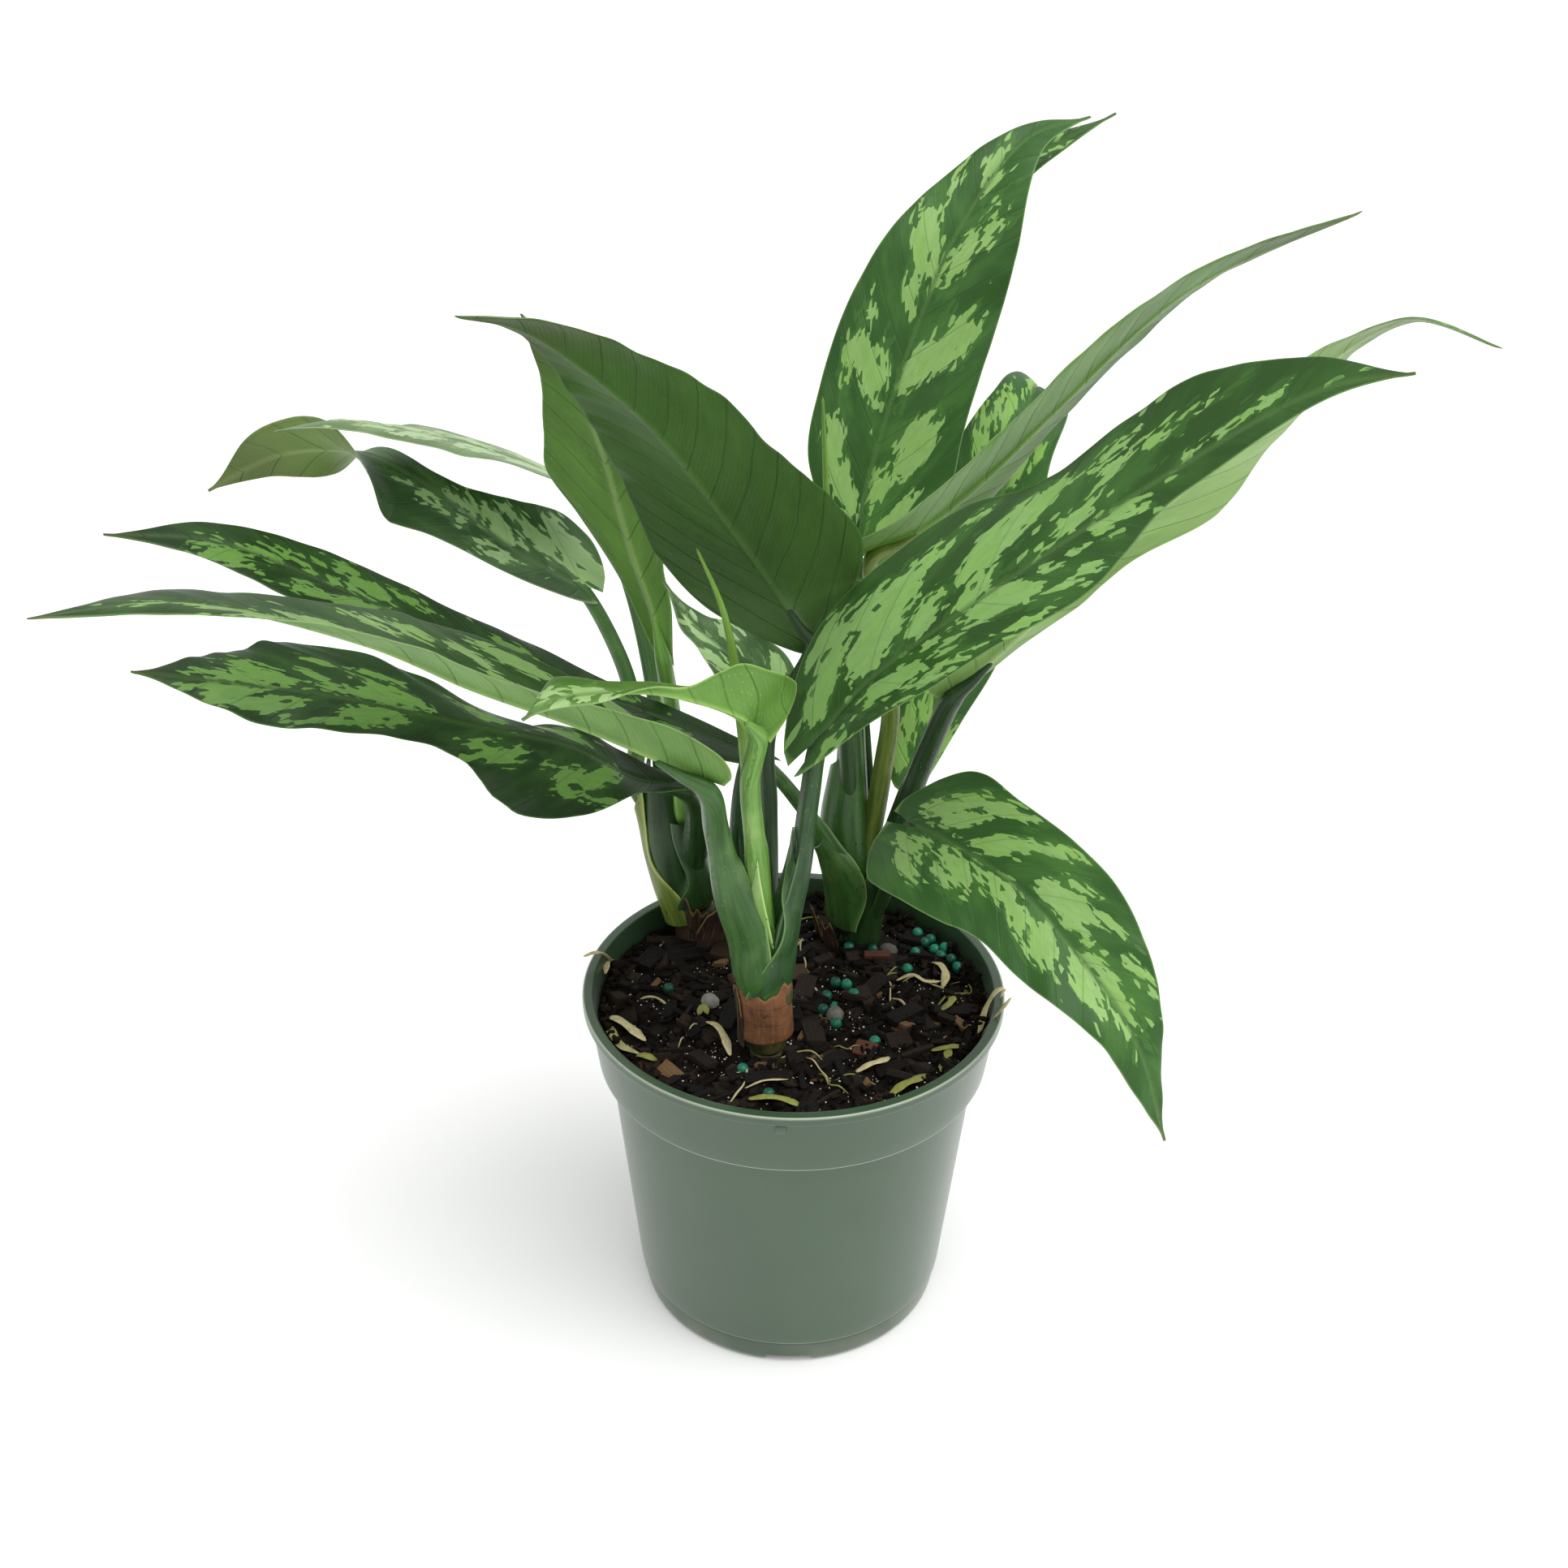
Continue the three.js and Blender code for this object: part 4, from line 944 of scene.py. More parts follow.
class Finish:
    """A procedural material, built node by node."""

    def __init__(self, name, roughness=0.5, **settings):
        self.material = bpy.data.materials.new(name)
        self.material.use_nodes = True
        self.tree = self.material.node_tree
        self.surface = self.tree.nodes["Principled BSDF"]
        self.set("Roughness", roughness)
        for socket, value in settings.items():
            self.set(socket.replace("_", " "), value)

    def set(self, socket, value):
        self.feed(self.surface.inputs[socket], value)

    def feed(self, socket, value):
        if isinstance(value, bpy.types.NodeSocket):
            self.tree.links.new(value, socket)
        elif socket.type == "RGBA":
            socket.default_value = opaque(value)
        else:
            socket.default_value = value

    def add(self, kind, inputs, output=0, **settings):
        node = self.tree.nodes.new("ShaderNode" + kind)
        for key, value in settings.items():
            setattr(node, key, value)
        for key, value in inputs.items():
            self.feed(node.inputs[key], value)
        return node.outputs[output]

    def attribute(self, key, output="Fac"):
        return self.add("Attribute", {}, output, attribute_name=key)

    def place(self):
        return self.add("TexCoord", {}, "Object")

    def parts(self, vector):
        node = self.tree.nodes.new("ShaderNodeSeparateXYZ")
        self.feed(node.inputs[0], vector)
        return node.outputs

    def stretched(self, vector, scale):
        return self.add("VectorMath", {0: vector, 1: scale}, operation="MULTIPLY")

    def math(self, operation, a, b=0.0, c=0.0):
        return self.add("Math", {0: a, 1: b, 2: c}, operation=operation)

    def plus(self, a, b):
        return self.math("ADD", a, b)

    def times(self, a, b):
        return self.math("MULTIPLY", a, b)

    def total(self, *terms):
        """The sum of values, each times its factor."""
        added = 0.0
        for value, factor in terms:
            added = self.math("MULTIPLY_ADD", value, factor, added)
        return added

    def noise(self, vector, scale, detail=2.0, roughness=0.5):
        inputs = {"Vector": vector, "Scale": scale, "Detail": detail, "Roughness": roughness}
        return self.add("TexNoise", inputs)

    def grain(self, vector, scale, detail, roughness=0.5):
        """Noise of a scale of its own along each direction."""
        return self.noise(self.stretched(vector, scale), 1.0, detail, roughness)

    def cells(self, vector, scale=1.0, output="Distance"):
        """Flat cells round scattered points: how far the nearest point is, or a colour for each cell."""
        return self.add("TexVoronoi", {"Vector": vector, "Scale": scale}, output, voronoi_dimensions="2D")

    def apart(self, value, spacing):
        """How far a value is from the nearest of the lines that lie at a spacing."""
        return self.math("PINGPONG", value, spacing / 2)

    def rise(self, value, low, high):
        """0 below low, 1 above high and a smooth step between them."""
        return self.add("MapRange", {0: value, 1: low, 2: high}, interpolation_type="SMOOTHSTEP")

    def spread(self, value, low, high):
        """Spreads a value from 0 to 1 evenly between two others."""
        return self.add("MapRange", {0: value, 3: low, 4: high})

    def swing(self, value, reach):
        """Spreads a value from 0 to 1 evenly round 0, up to a reach on either side."""
        return self.spread(value, -reach, reach)

    def near(self, value, breadth):
        """1 where a value is 0, falling smoothly to 0 at a breadth on either side."""
        inputs = {0: self.math("ABSOLUTE", value), 1: 0.0, 2: breadth, 3: 1.0, 4: 0.0}
        return self.add("MapRange", inputs, interpolation_type="SMOOTHSTEP")

    def mix(self, factor, a, b):
        return self.add("Mix", {0: factor, 6: a, 7: b}, 2, data_type="RGBA")

    def layers(self, colour, coats):
        """Lays coats over a colour in turn. Each says where it lies, how well it covers, and its shade."""
        for where, share, shade in coats:
            colour = self.mix(self.times(where, share), colour, shade)
        return colour

    def done(self, colour, height, depth):
        """Gives the surface its colour and its relief, whose depth is in millimetres."""
        self.set("Base Color", colour)
        self.set("Normal", self.add("Bump", {"Height": height, "Distance": depth * MM, "Strength": 1.0}))
        return self.material


def leaf_face(tone, colours):
    """The upper side: dark green with pale patches whose torn edges follow the side veins."""
    dark, middle, pale = (linear(code) for code in colours)
    finish = Finish(f"leaf_face_{tone}", 0.4, Specular_IOR_Level=0.22)
    lie = finish.attribute("lie", "Vector")
    q, y, _ = finish.parts(lie)
    patch = finish.attribute("pale")
    rim = finish.attribute("rim")
    wander = finish.swing(finish.noise(lie, 0.24, 2.0), PATCH_WANDER)
    torn = finish.cells(finish.stretched(lie, PATCH_CELL), 1.0, "Color")
    first, second, third = finish.parts(torn)
    edge = finish.plus(finish.plus(patch, wander), finish.swing(first, PATCH_TEAR))
    is_pale = finish.rise(edge, PATCH_SHRINK - 0.07, PATCH_SHRINK + 0.07)
    hole = finish.times(finish.rise(second, 0.955, 0.96), finish.rise(patch, 4.5, 2.5))
    fleck = finish.times(finish.rise(third, 0.972, 0.976), finish.rise(edge, -2.6, -2.2))
    is_pale = finish.math("MAXIMUM", finish.math("SUBTRACT", is_pale, hole), fleck)
    fringe = finish.plus(edge, finish.swing(finish.noise(lie, 0.12, 1.0), 3.0))
    cloud = finish.noise(lie, 0.07, 3.0, 0.6)
    ground = finish.layers(dark, [
        (finish.rise(cloud, 0.4, 0.75), 0.75, middle),
        (finish.rise(fringe, -0.6, -0.3), 0.45, middle),
        (finish.near(rim, 3.0), 0.25, scaled(dark, 0.8)),
    ])
    light = finish.layers(pale, [
        (finish.rise(finish.noise(lie, 0.11, 2.0), 0.4, 0.65), 0.55, lush(pale)),
        (third, 0.16, middle),
    ])
    vein = finish.near(finish.apart(q, PLEAT_SPACING), 0.4)
    colour = finish.layers(finish.mix(is_pale, ground, light), [
        (vein, 0.2, scaled(middle, 0.8)),
        (finish.near(y, 1.2), 0.75, finish.mix(0.22, dark, pale)),
        (finish.near(rim, 0.45), 0.55, pale),
        (finish.rise(finish.attribute("tip"), 0.93, 1.0), 0.5, linear("#3b3d22")),
    ])
    finish.set("Roughness", finish.spread(cloud, 0.3, 0.5))
    height = finish.total((vein, -0.35), (finish.apart(q, THREAD_SPACING), 0.07), (cloud, 0.8))
    return finish.done(colour, height, 0.3)


def leaf_back(tone, colours):
    """The underside: plain green with fine dark side veins, a lighter keel and a few light specks."""
    base, dark, keel = (linear(code) for code in colours)
    finish = Finish(f"leaf_back_{tone}", 0.4, Specular_IOR_Level=0.3)
    lie = finish.attribute("lie", "Vector")
    q, y, _ = finish.parts(lie)
    rim = finish.attribute("rim")
    cloud = finish.noise(lie, 0.06, 3.0, 0.6)
    patch = finish.plus(finish.attribute("pale"), finish.swing(finish.noise(lie, 0.3), 2.0))
    waver = finish.plus(q, finish.swing(finish.noise(lie, 0.1), 1.5))
    vein = finish.near(finish.apart(waver, PLEAT_SPACING), 0.4)
    thread = finish.near(finish.apart(waver, THREAD_SPACING), 0.4)
    speck = finish.near(finish.cells(lie, 0.45), 0.11)
    few = finish.rise(finish.noise(lie, 0.035, 1.0), 0.55, 0.62)
    colour = finish.mix(finish.rise(cloud, 0.3, 0.7), base, finish.mix(0.6, base, dark))
    colour = finish.layers(colour, [
        (finish.rise(cloud, 0.6, 0.8), 0.3, keel),
        (finish.rise(patch, -0.5, 1.0), 0.14, scaled(base, 1.5)),
        (vein, 0.32, dark),
        (thread, 0.1, dark),
        (finish.near(finish.plus(rim, -1.0), 0.35), 0.4, dark),
        (finish.near(y, 1.3), 0.6, keel),
        (finish.near(rim, 0.45), 0.7, keel),
        (finish.times(speck, few), 0.5, scaled(keel, 1.5)),
        (finish.rise(finish.attribute("tip"), 0.72, 0.9), 0.6, linear("#46502e")),
    ])
    return finish.done(colour, finish.total((vein, 0.5), (thread, 0.08), (cloud, 0.6)), 0.4)


def stalk_finish(tone, colours):
    """A petiole: streaked green, with light sheath edges and tiny flecks."""
    base, dark, light = (linear(code) for code in colours)
    finish = Finish(f"stalk_{tone}", 0.36, Specular_IOR_Level=0.35)
    lie = finish.attribute("lie", "Vector")
    _, angle, share = finish.parts(lie)
    streaks = finish.grain(lie, STREAKS, 3.0, 0.6)
    cloud = finish.noise(finish.place(), 70.0, 2.0)
    beside = finish.near(finish.plus(finish.math("ABSOLUTE", angle), -SHEATH_ANGLE), 0.11)
    below = finish.rise(finish.times(share, -1.0), -SHEATH_SHARE, -SHEATH_SHARE + 0.05)
    speck = finish.near(finish.cells(finish.stretched(lie, (0.16, 2.2, 0))), 0.07)
    few = finish.rise(finish.noise(finish.place(), 55.0, 1.0), 0.45, 0.6)
    colour = finish.layers(finish.mix(finish.rise(streaks, 0.35, 0.7), base, dark), [
        (finish.rise(cloud, 0.5, 0.8), 0.3, light),
        (finish.times(beside, below), 0.5, light),
        (finish.times(speck, few), 0.7, linear("#b9cc9a")),
    ])
    return finish.done(colour, finish.total((streaks, 1.0), (cloud, 0.6)), 0.15)


def sheath_finish(tone, colours):
    """A petiole's foot: streaked green with thin light margins, a few scratches and dark spots."""
    base, dark, light = (linear(code) for code in colours)
    finish = Finish(f"sheath_{tone}", 0.34, Specular_IOR_Level=0.35)
    lie = finish.attribute("lie", "Vector")
    rim = finish.attribute("rim")
    streaks = finish.grain(lie, STREAKS, 3.0, 0.6)
    cloud = finish.noise(finish.place(), 80.0, 3.0)
    colour = finish.layers(finish.mix(finish.rise(streaks, 0.35, 0.7), base, dark), [
        (finish.rise(cloud, 0.5, 0.8), 0.3, light),
        (finish.near(rim, 2.2), 0.3, light),
        (finish.near(rim, 0.45), 0.8, scaled(light, 1.25)),
        (finish.rise(finish.grain(lie, (0.5, 9.0, 0), 2.0), 0.72, 0.76), 0.45, scaled(light, 1.3)),
        (finish.near(finish.cells(finish.stretched(lie, (0.13, 1.0, 0))), 0.08), 0.9, linear("#1e2314")),
    ])
    return finish.done(colour, finish.total((streaks, 1.0), (cloud, 0.6)), 0.2)


def cane_finish(tone, colours):
    """An old stem: mottled, with ring scars where leaves have been."""
    base, dark, light = (linear(code) for code in colours)
    finish = Finish(f"cane_{tone}", 0.6)
    lie = finish.attribute("lie", "Vector")
    place = finish.place()
    mottle = finish.noise(place, 260.0, 4.0, 0.6)
    streaks = finish.grain(lie, (0.12, 3.5, 0), 3.0, 0.65)
    waver = finish.plus(finish.parts(lie)[0], finish.swing(finish.noise(place, 60.0), 1.2))
    from_ring = finish.apart(waver, RING_SPACING)
    ring = finish.near(from_ring, 0.5)
    colour = finish.layers(finish.mix(finish.rise(mottle, 0.35, 0.65), base, dark), [
        (finish.rise(streaks, 0.5, 0.75), 0.6, light),
        (ring, 0.5, scaled(dark, 0.6)),
        (finish.near(finish.plus(from_ring, -1.0), 0.4), 0.3, light),
    ])
    return finish.done(colour, finish.total((ring, -1.0), (mottle, 0.6), (streaks, 0.5)), 0.5)


def husk_finish(tone, colours):
    """Papery leaf bases: dry and thin, with fibres along them and faint rings across."""
    dark, middle, light = (linear(code) for code in colours)
    finish = Finish(f"husk_{tone}", 0.55, Specular_IOR_Level=0.35)
    lie = finish.attribute("lie", "Vector")
    height, _, share = finish.parts(lie)
    place = finish.place()
    fibres = finish.grain(lie, (0.12, 1.5, 0), 4.0, 0.7)
    cloud = finish.noise(place, 130.0, 4.0, 0.6)
    waver = finish.plus(height, finish.swing(finish.noise(place, 90.0), 1.6))
    ring = finish.near(finish.apart(waver, HUSK_RING_SPACING), 0.22)
    colour = finish.layers(finish.mix(finish.rise(cloud, 0.3, 0.62), dark, middle), [
        (finish.rise(fibres, 0.5, 0.75), 0.55, light),
        (ring, 0.4, scaled(dark, 0.7)),
        (finish.rise(share, 0.92, 1.0), 0.5, light),
        (finish.rise(finish.noise(place, 210.0, 2.0), 0.66, 0.7), 0.8, scaled(dark, 0.45)),
    ])
    return finish.done(colour, finish.total((fibres, 1.0), (ring, -0.5)), 0.25)


def rolled_leaf_finish(settings):
    """A rolled young leaf: bright lime with fine lines along it, and darker towards its foot."""
    base = settings.young_green
    finish = Finish("rolled_leaf", 0.4, Specular_IOR_Level=0.45)
    lie = finish.attribute("lie", "Vector")
    lines = finish.grain(lie, (0.03, 4.0, 0), 3.0, 0.6)
    cloud = finish.noise(finish.place(), 120.0, 2.0)
    colour = finish.mix(finish.rise(lines, 0.35, 0.7), base, scaled(base, 0.72))
    colour = finish.layers(colour, [(finish.rise(cloud, 0.5, 0.75), 0.35, linear("#d3e49a"))])
    colour = finish.mix(finish.rise(finish.parts(lie)[2], 0.35, 0.5), linear("#34512a"), colour)
    return finish.done(colour, lines, 0.3)


def pot_finish(settings):
    """Thin moulded plastic, a little cloudy, with painted highlight lines at its edges and dust towards the
    foot.
    """
    base = settings.plastic
    finish = Finish("pot_plastic", 0.3, Specular_IOR_Level=0.8, Sheen_Weight=0.22, Sheen_Roughness=0.35)
    place = finish.place()
    x, y, height = finish.parts(place)
    cloud = finish.noise(place, 28.0, 3.0, 0.6)
    drawn = finish.grain(place, (260.0, 260.0, 22.0), 3.0, 0.6)
    grit = finish.noise(place, 1400.0, 2.0)
    dust = finish.times(finish.rise(height, 0.012, 0.0), finish.rise(cloud, 0.4, 0.6))
    # Thin light lines at the heights of the wall's steps, painted highlights where the edges catch the light
    edge_highlights = [(finish.near(finish.plus(height, -edge * MM), 0.3 * MM), share) for edge, share in PAINTED_EDGE_HIGHLIGHTS]
    radius = finish.math("SQRT", finish.plus(finish.times(x, x), finish.times(y, y)))
    # A thin light line round the lip's outer top edge, a painted highlight
    rim = finish.near(finish.plus(radius, -(LIP_RADIUS - 0.25) * MM), 0.4 * MM)
    top = finish.rise(height, (POT_HEIGHT - 0.8) * MM, (POT_HEIGHT - 0.3) * MM)
    colour = finish.mix(finish.rise(cloud, 0.3, 0.75), scaled(base, 0.93), scaled(base, 1.08))
    colour = finish.layers(colour, [
        (finish.rise(drawn, 0.62, 0.8), 0.12, scaled(base, 1.5)),
        (dust, 0.35, linear("#8a8574")),
        *((edge, share, linear("#b9c6b2")) for edge, share in edge_highlights),
        (finish.times(rim, top), 0.75, linear("#bfcab4")),
        (finish.rise(finish.noise(place, 420.0, 1.0), 0.73, 0.76), 0.5, linear("#4b4a3c")),
    ])
    finish.set("Roughness", finish.spread(cloud, 0.26, 0.36))
    return finish.done(colour, finish.total((grit, 0.25), (drawn, 1.0)), 0.04)


def soil_finish(settings):
    base = settings.peat
    finish = Finish("soil", 0.95, Specular_IOR_Level=0.08)
    place = finish.place()
    cloud = finish.noise(place, 130.0, 5.0, 0.65)
    grain = finish.noise(place, 900.0, 3.0, 0.6)
    colour = finish.mix(finish.rise(cloud, 0.3, 0.7), scaled(base, 0.4), scaled(base, 1.6))
    colour = finish.layers(colour, [(finish.rise(grain, 0.6, 0.72), 0.5, scaled(base, 4.0))])
    return finish.done(colour, finish.total((cloud, 1.0), (grain, 0.5)), 1.2)


def bark_finish():
    """Bark pieces, each of its own brown, with the grain along it."""
    finish = Finish("bark", 0.6, Specular_IOR_Level=0.2)
    shade = finish.attribute("shade")
    fibres = finish.grain(finish.attribute("own", "Vector"), (1.5, 9.0, 9.0), 4.0, 0.65)
    red = finish.math("SUBTRACT", finish.rise(shade, 0.92, 0.925), finish.rise(shade, 0.935, 0.94))
    colour = finish.mix(finish.rise(shade, 0.3, 0.95), linear("#0b0908"), linear("#33271e"))
    colour = finish.layers(colour, [
        (finish.rise(fibres, 0.5, 0.75), 0.35, linear("#4a3a2d")),
        (finish.rise(shade, 0.955, 0.965), 0.85, linear("#8a6a48")),
        (red, 0.8, linear("#6f4434")),
    ])
    return finish.done(colour, fibres, 0.8)


def crumb_finish():
    finish = Finish("crumbs", 0.95, Specular_IOR_Level=0.08)
    grain = finish.noise(finish.place(), 1500.0, 3.0)
    colour = finish.mix(finish.attribute("shade"), linear("#090706"), linear("#261e18"))
    colour = finish.layers(colour, [(finish.rise(grain, 0.55, 0.7), 0.3, linear("#4a4034"))])
    return finish.done(colour, grain, 0.5)


def mineral_finish(name, dark, light, roughness, scale, depth):
    """A small hard bit, such as perlite, a pebble or a grain of feed: its own tone, finely mottled."""
    finish = Finish(name, roughness, Specular_IOR_Level=0.4)
    mottle = finish.noise(finish.place(), scale, 3.0, 0.6)
    tone = finish.total((finish.attribute("shade"), 0.6), (mottle, 0.5))
    return finish.done(finish.mix(finish.rise(tone, 0.2, 0.9), linear(dark), linear(light)), mottle, depth)


def root_finish():
    """Roots and straws, each of its own tone from cream to yellow green, with brown bands."""
    finish = Finish("roots", 0.6, Specular_IOR_Level=0.3)
    shade = finish.attribute("shade")
    bands = finish.grain(finish.attribute("lie", "Vector"), (0.5, 0.9, 0), 3.0, 0.6)
    colour = finish.mix(finish.rise(shade, 0.35, 0.65), linear("#cfc295"), linear("#8f9348"))
    colour = finish.layers(colour, [(finish.rise(bands, 0.45, 0.75), 0.6, linear("#7d6a42"))])
    return finish.done(colour, bands, 0.3)


def floor_finish(settings):
    finish = Finish("floor", 0.9, Specular_IOR_Level=0.1)
    tone = finish.noise(finish.place(), 3.0, 2.0)
    finish.set("Base Color", finish.mix(tone, scaled(settings.floor, 0.995), settings.floor))
    finish.set("Emission Color", settings.floor)
    finish.set("Emission Strength", settings.floor_glow)
    return finish.material


def paleness(marks, q, y):
    """How deep inside a pale patch a point lies, in millimetres, and below 0 how far outside all patches."""
    best = np.full(len(q), -FAR_FROM_MARKS, float)
    for along, across, reach_along, reach_across in marks:
        away = np.hypot((q - along) / reach_along, (y - across) / reach_across)
        best = np.maximum(best, (1 - away) * min(reach_along, reach_across))
    return best


def scattered_marks(leaf, length, number):
    """Pale patches at uneven steps along both halves, for a leaf whose upper side the view doesn't show."""
    rng = np.random.default_rng(MARK_SEED + number)
    marks = []
    for sign, widths in ((1, leaf["left"]), (-1, leaf["right"])):
        for step in range(1, round(length / MARK_SPACING)):
            along = (step + rng.uniform(-0.3, 0.3)) * MARK_SPACING
            width = float(half_width(widths, np.array([min(1, (along + 12) / length)]))[0])
            across = sign * width * rng.uniform(0.2, 0.6)
            marks.append((along, across, rng.uniform(5, 9), width * rng.uniform(0.15, 0.28)))
    return marks


def ruffles(q, y, number):
    """The uneven waves of a margin, from about -1 to 1, other ones on the left than on the right."""
    rng = np.random.default_rng(RUFFLE_SEED + number)
    total = np.zeros(len(q))
    for spacing, share in ((37, 0.45), (21, 0.35), (12, 0.2)):
        left, right = rng.uniform(0, 2 * math.pi, 2)
        total += share * np.sin(2 * math.pi * q / spacing + np.where(y < 0, right, left))
    return total


def blade(name, leaf, number):
    """A leaf's blade: one sheet wrapped round its margin, with a groove above the rib and a keel below."""
    line = spline(leaf["rib"])
    length = line[1][-1]
    marks = leaf.get("marks") or scattered_marks(leaf, length, number)

    def form(u, run):
        s = run - END_CROWDING * np.sin(2 * math.pi * run) / (2 * math.pi)
        upper = u <= 0.5
        across = np.where(upper, 1 - 4 * u, 4 * u - 3)
        v = np.sin(math.pi / 2 * (0.4 * across + 0.6 * across**3))
        place, normal, width = blade_point(leaf, line, s, v)
        y = v * width
        q = s * length - VEIN_SLANT * np.abs(y) - VEIN_BEND * y * y
        closing = np.sqrt(np.clip(np.minimum(s, 1 - s) / CLOSING_SHARE, 0, 1))
        margin = np.sqrt(np.clip(1 - v**6, 0, 1)) * closing
        groove = GROOVE_DEPTH * (1 - 0.6 * s) * np.exp(-((y / GROOVE_BREADTH) ** 2))
        keel = KEEL_DEPTH * (1 - s) ** 1.3 * np.exp(-((y / KEEL_BREADTH) ** 2)) * closing
        lift = np.where(upper, BLADE_THICKNESS / 2 - groove, -BLADE_THICKNESS / 2 - keel) * margin
        free = (1 - np.exp(-((y / 3) ** 2))) * (1 - v**4) * np.sin(math.pi * s) ** 0.5
        relief = PLEAT_DEPTH * np.cos(2 * math.pi * q / PLEAT_SPACING) + UNEVEN * lumps(place, 26, number)
        loose = np.abs(v) ** 2.5 * np.sin(math.pi * s) ** 0.5
        ruffle = leaf.get("ruffle", RUFFLE) * loose * ruffles(q, y, number)
        points = place + normal * (lift + relief * free + ruffle)[:, None]
        chart = np.stack([q + LEAF_STEP * number, y, np.full(len(q), float(number))], -1)
        rim = (1 - np.abs(v)) * width
        return points, {"lie": chart, "pale": paleness(marks, q, y), "rim": rim, "turn": u, "tip": s}

    piece = sheet(name, BLADE_GRID, form)
    turn = np.empty(len(piece.data.vertices))
    piece.data.attributes["turn"].data.foreach_get("value", turn)
    corners = np.empty(4 * len(piece.data.polygons), int)
    piece.data.loops.foreach_get("vertex_index", corners)
    below = turn[corners].reshape(-1, 4).mean(1) > 0.5
    face, back, _ = leaf["tones"]
    piece.data.materials.append(finish_of("face", face))
    piece.data.materials.append(finish_of("back", back))
    piece.data.polygons.foreach_set("material_index", below.astype(int))
    piece.data.attributes.remove(piece.data.attributes["turn"])
    weld(piece, sharp=75)
    return piece


def petiole(name, leaf, number):
    """A leaf's stalk: round above, with a channel between two thin sheath edges below, and tapered into the
    keel under the blade."""
    rib = spline(leaf["rib"])
    foot, above = (np.array(point, float) for point in leaf["petiole"][:2])
    sunk = foot + unit(foot - above) * PETIOLE_SUNK
    joints = np.array((0, PETIOLE_END / 2, PETIOLE_END))
    middle, normal, _ = blade_point(leaf, rib, joints, np.zeros(3))
    top = middle - normal * (np.array(PETIOLE_TOP_DEPTHS) * leaf["radii"][-1])[:, None]
    points = [tuple(sunk), *leaf["petiole"], *(tuple(point) for point in top)]
    blade_start = 1 - PETIOLE_END * rib[1][-1] / spline(points)[1][-1]

    def shape(angle, s):
        sheathed = 1 / (1 + np.exp((s - SHEATH_SHARE) / 0.012))
        channel = (0.16 + 0.3 * sheathed) * np.exp(-((angle / 0.5) ** 2))
        beside = np.exp(-(((np.abs(angle) - SHEATH_ANGLE) / 0.16) ** 2))
        edges = 0.22 * sheathed * (0.4 + s / SHEATH_SHARE) * beside
        rings = 0.04 * np.sin(3 * angle + 9 * s) * (1 - s)
        taper = 1 - 0.7 * np.clip((s - blade_start) / (1 - blade_start), 0, 1) ** 0.8
        return (1 - channel + edges + rings) * taper

    radii = [0.8 * leaf["radii"][0], *stepwise(leaf["radii"], np.linspace(0, 1, 9))]
    piece = tube(name, points, radii, leaf["face"][0], PETIOLE_GRID, shape, number)
    piece.data.materials.append(finish_of("stalk", leaf["tones"][2]))
    return piece


FINISH_MAKERS = {
    "face": (leaf_face, FACES),
    "back": (leaf_back, BACKS),
    "stalk": (stalk_finish, STALKS),
    "sheath": (sheath_finish, STALKS),
    "cane": (cane_finish, CANE_TONES),
    "husk": (husk_finish, HUSK_TONES),
}
FINISHES = {}


def finish_of(kind, tone):
    """The one material of a kind and a tone, made when it is first asked for."""
    if (kind, tone) not in FINISHES:
        maker, tones = FINISH_MAKERS[kind]
        FINISHES[kind, tone] = maker(tone, tones[tone])
    return FINISHES[kind, tone]


def build_leaf(name, number):
    leaf = LEAVES[name]
    parts = [blade(name + "_blade", leaf, number), petiole(name + "_stalk", leaf, number)]
    settle(join(name + "_detail", parts), stands_for=name)


def build_spear(name, number, settings):
    """A young leaf that is still rolled up, with the outer edge running up it in a slow turn."""
    spear = SPEARS[name]

    def shape(angle, s):
        turned = np.mod(angle / (2 * math.pi) + 0.5 + ROLL_START + ROLL_TURNS * s, 1)
        step = 1 / (1 + np.exp(-(turned - 0.06) / 0.012))
        return (1 - ROLL_STEP * (1 - turned) * step) * (0.86 + 0.14 * step)

    piece = tube(name + "_detail", spear["points"], spear["radii"], TO_FRONT, SPEAR_GRID, shape, number)
    settle(piece, rolled_leaf_finish(settings), stands_for=name)


def build_cane(name):
    cane = CANES[name]

    def shape(angle, s):
        run = s * cane["length"] / RING_SPACING
        ring = np.exp(-((np.abs(np.mod(run + 0.5, 1) - 0.5) * RING_SPACING / RING_BREADTH) ** 2))
        swelling = CANE_SWELLING * np.cos(2 * math.pi * run / 2 + 1)
        return 1 - RING_DEPTH * ring + swelling + 0.025 * np.sin(2 * angle + 5 * s)

    piece = tube(f"cane_{name}_detail", cane["points"], cane["radii"], TO_FRONT, CANE_GRID, shape)
    settle(piece, finish_of("cane", name), stands_for=f"cane_{name}")


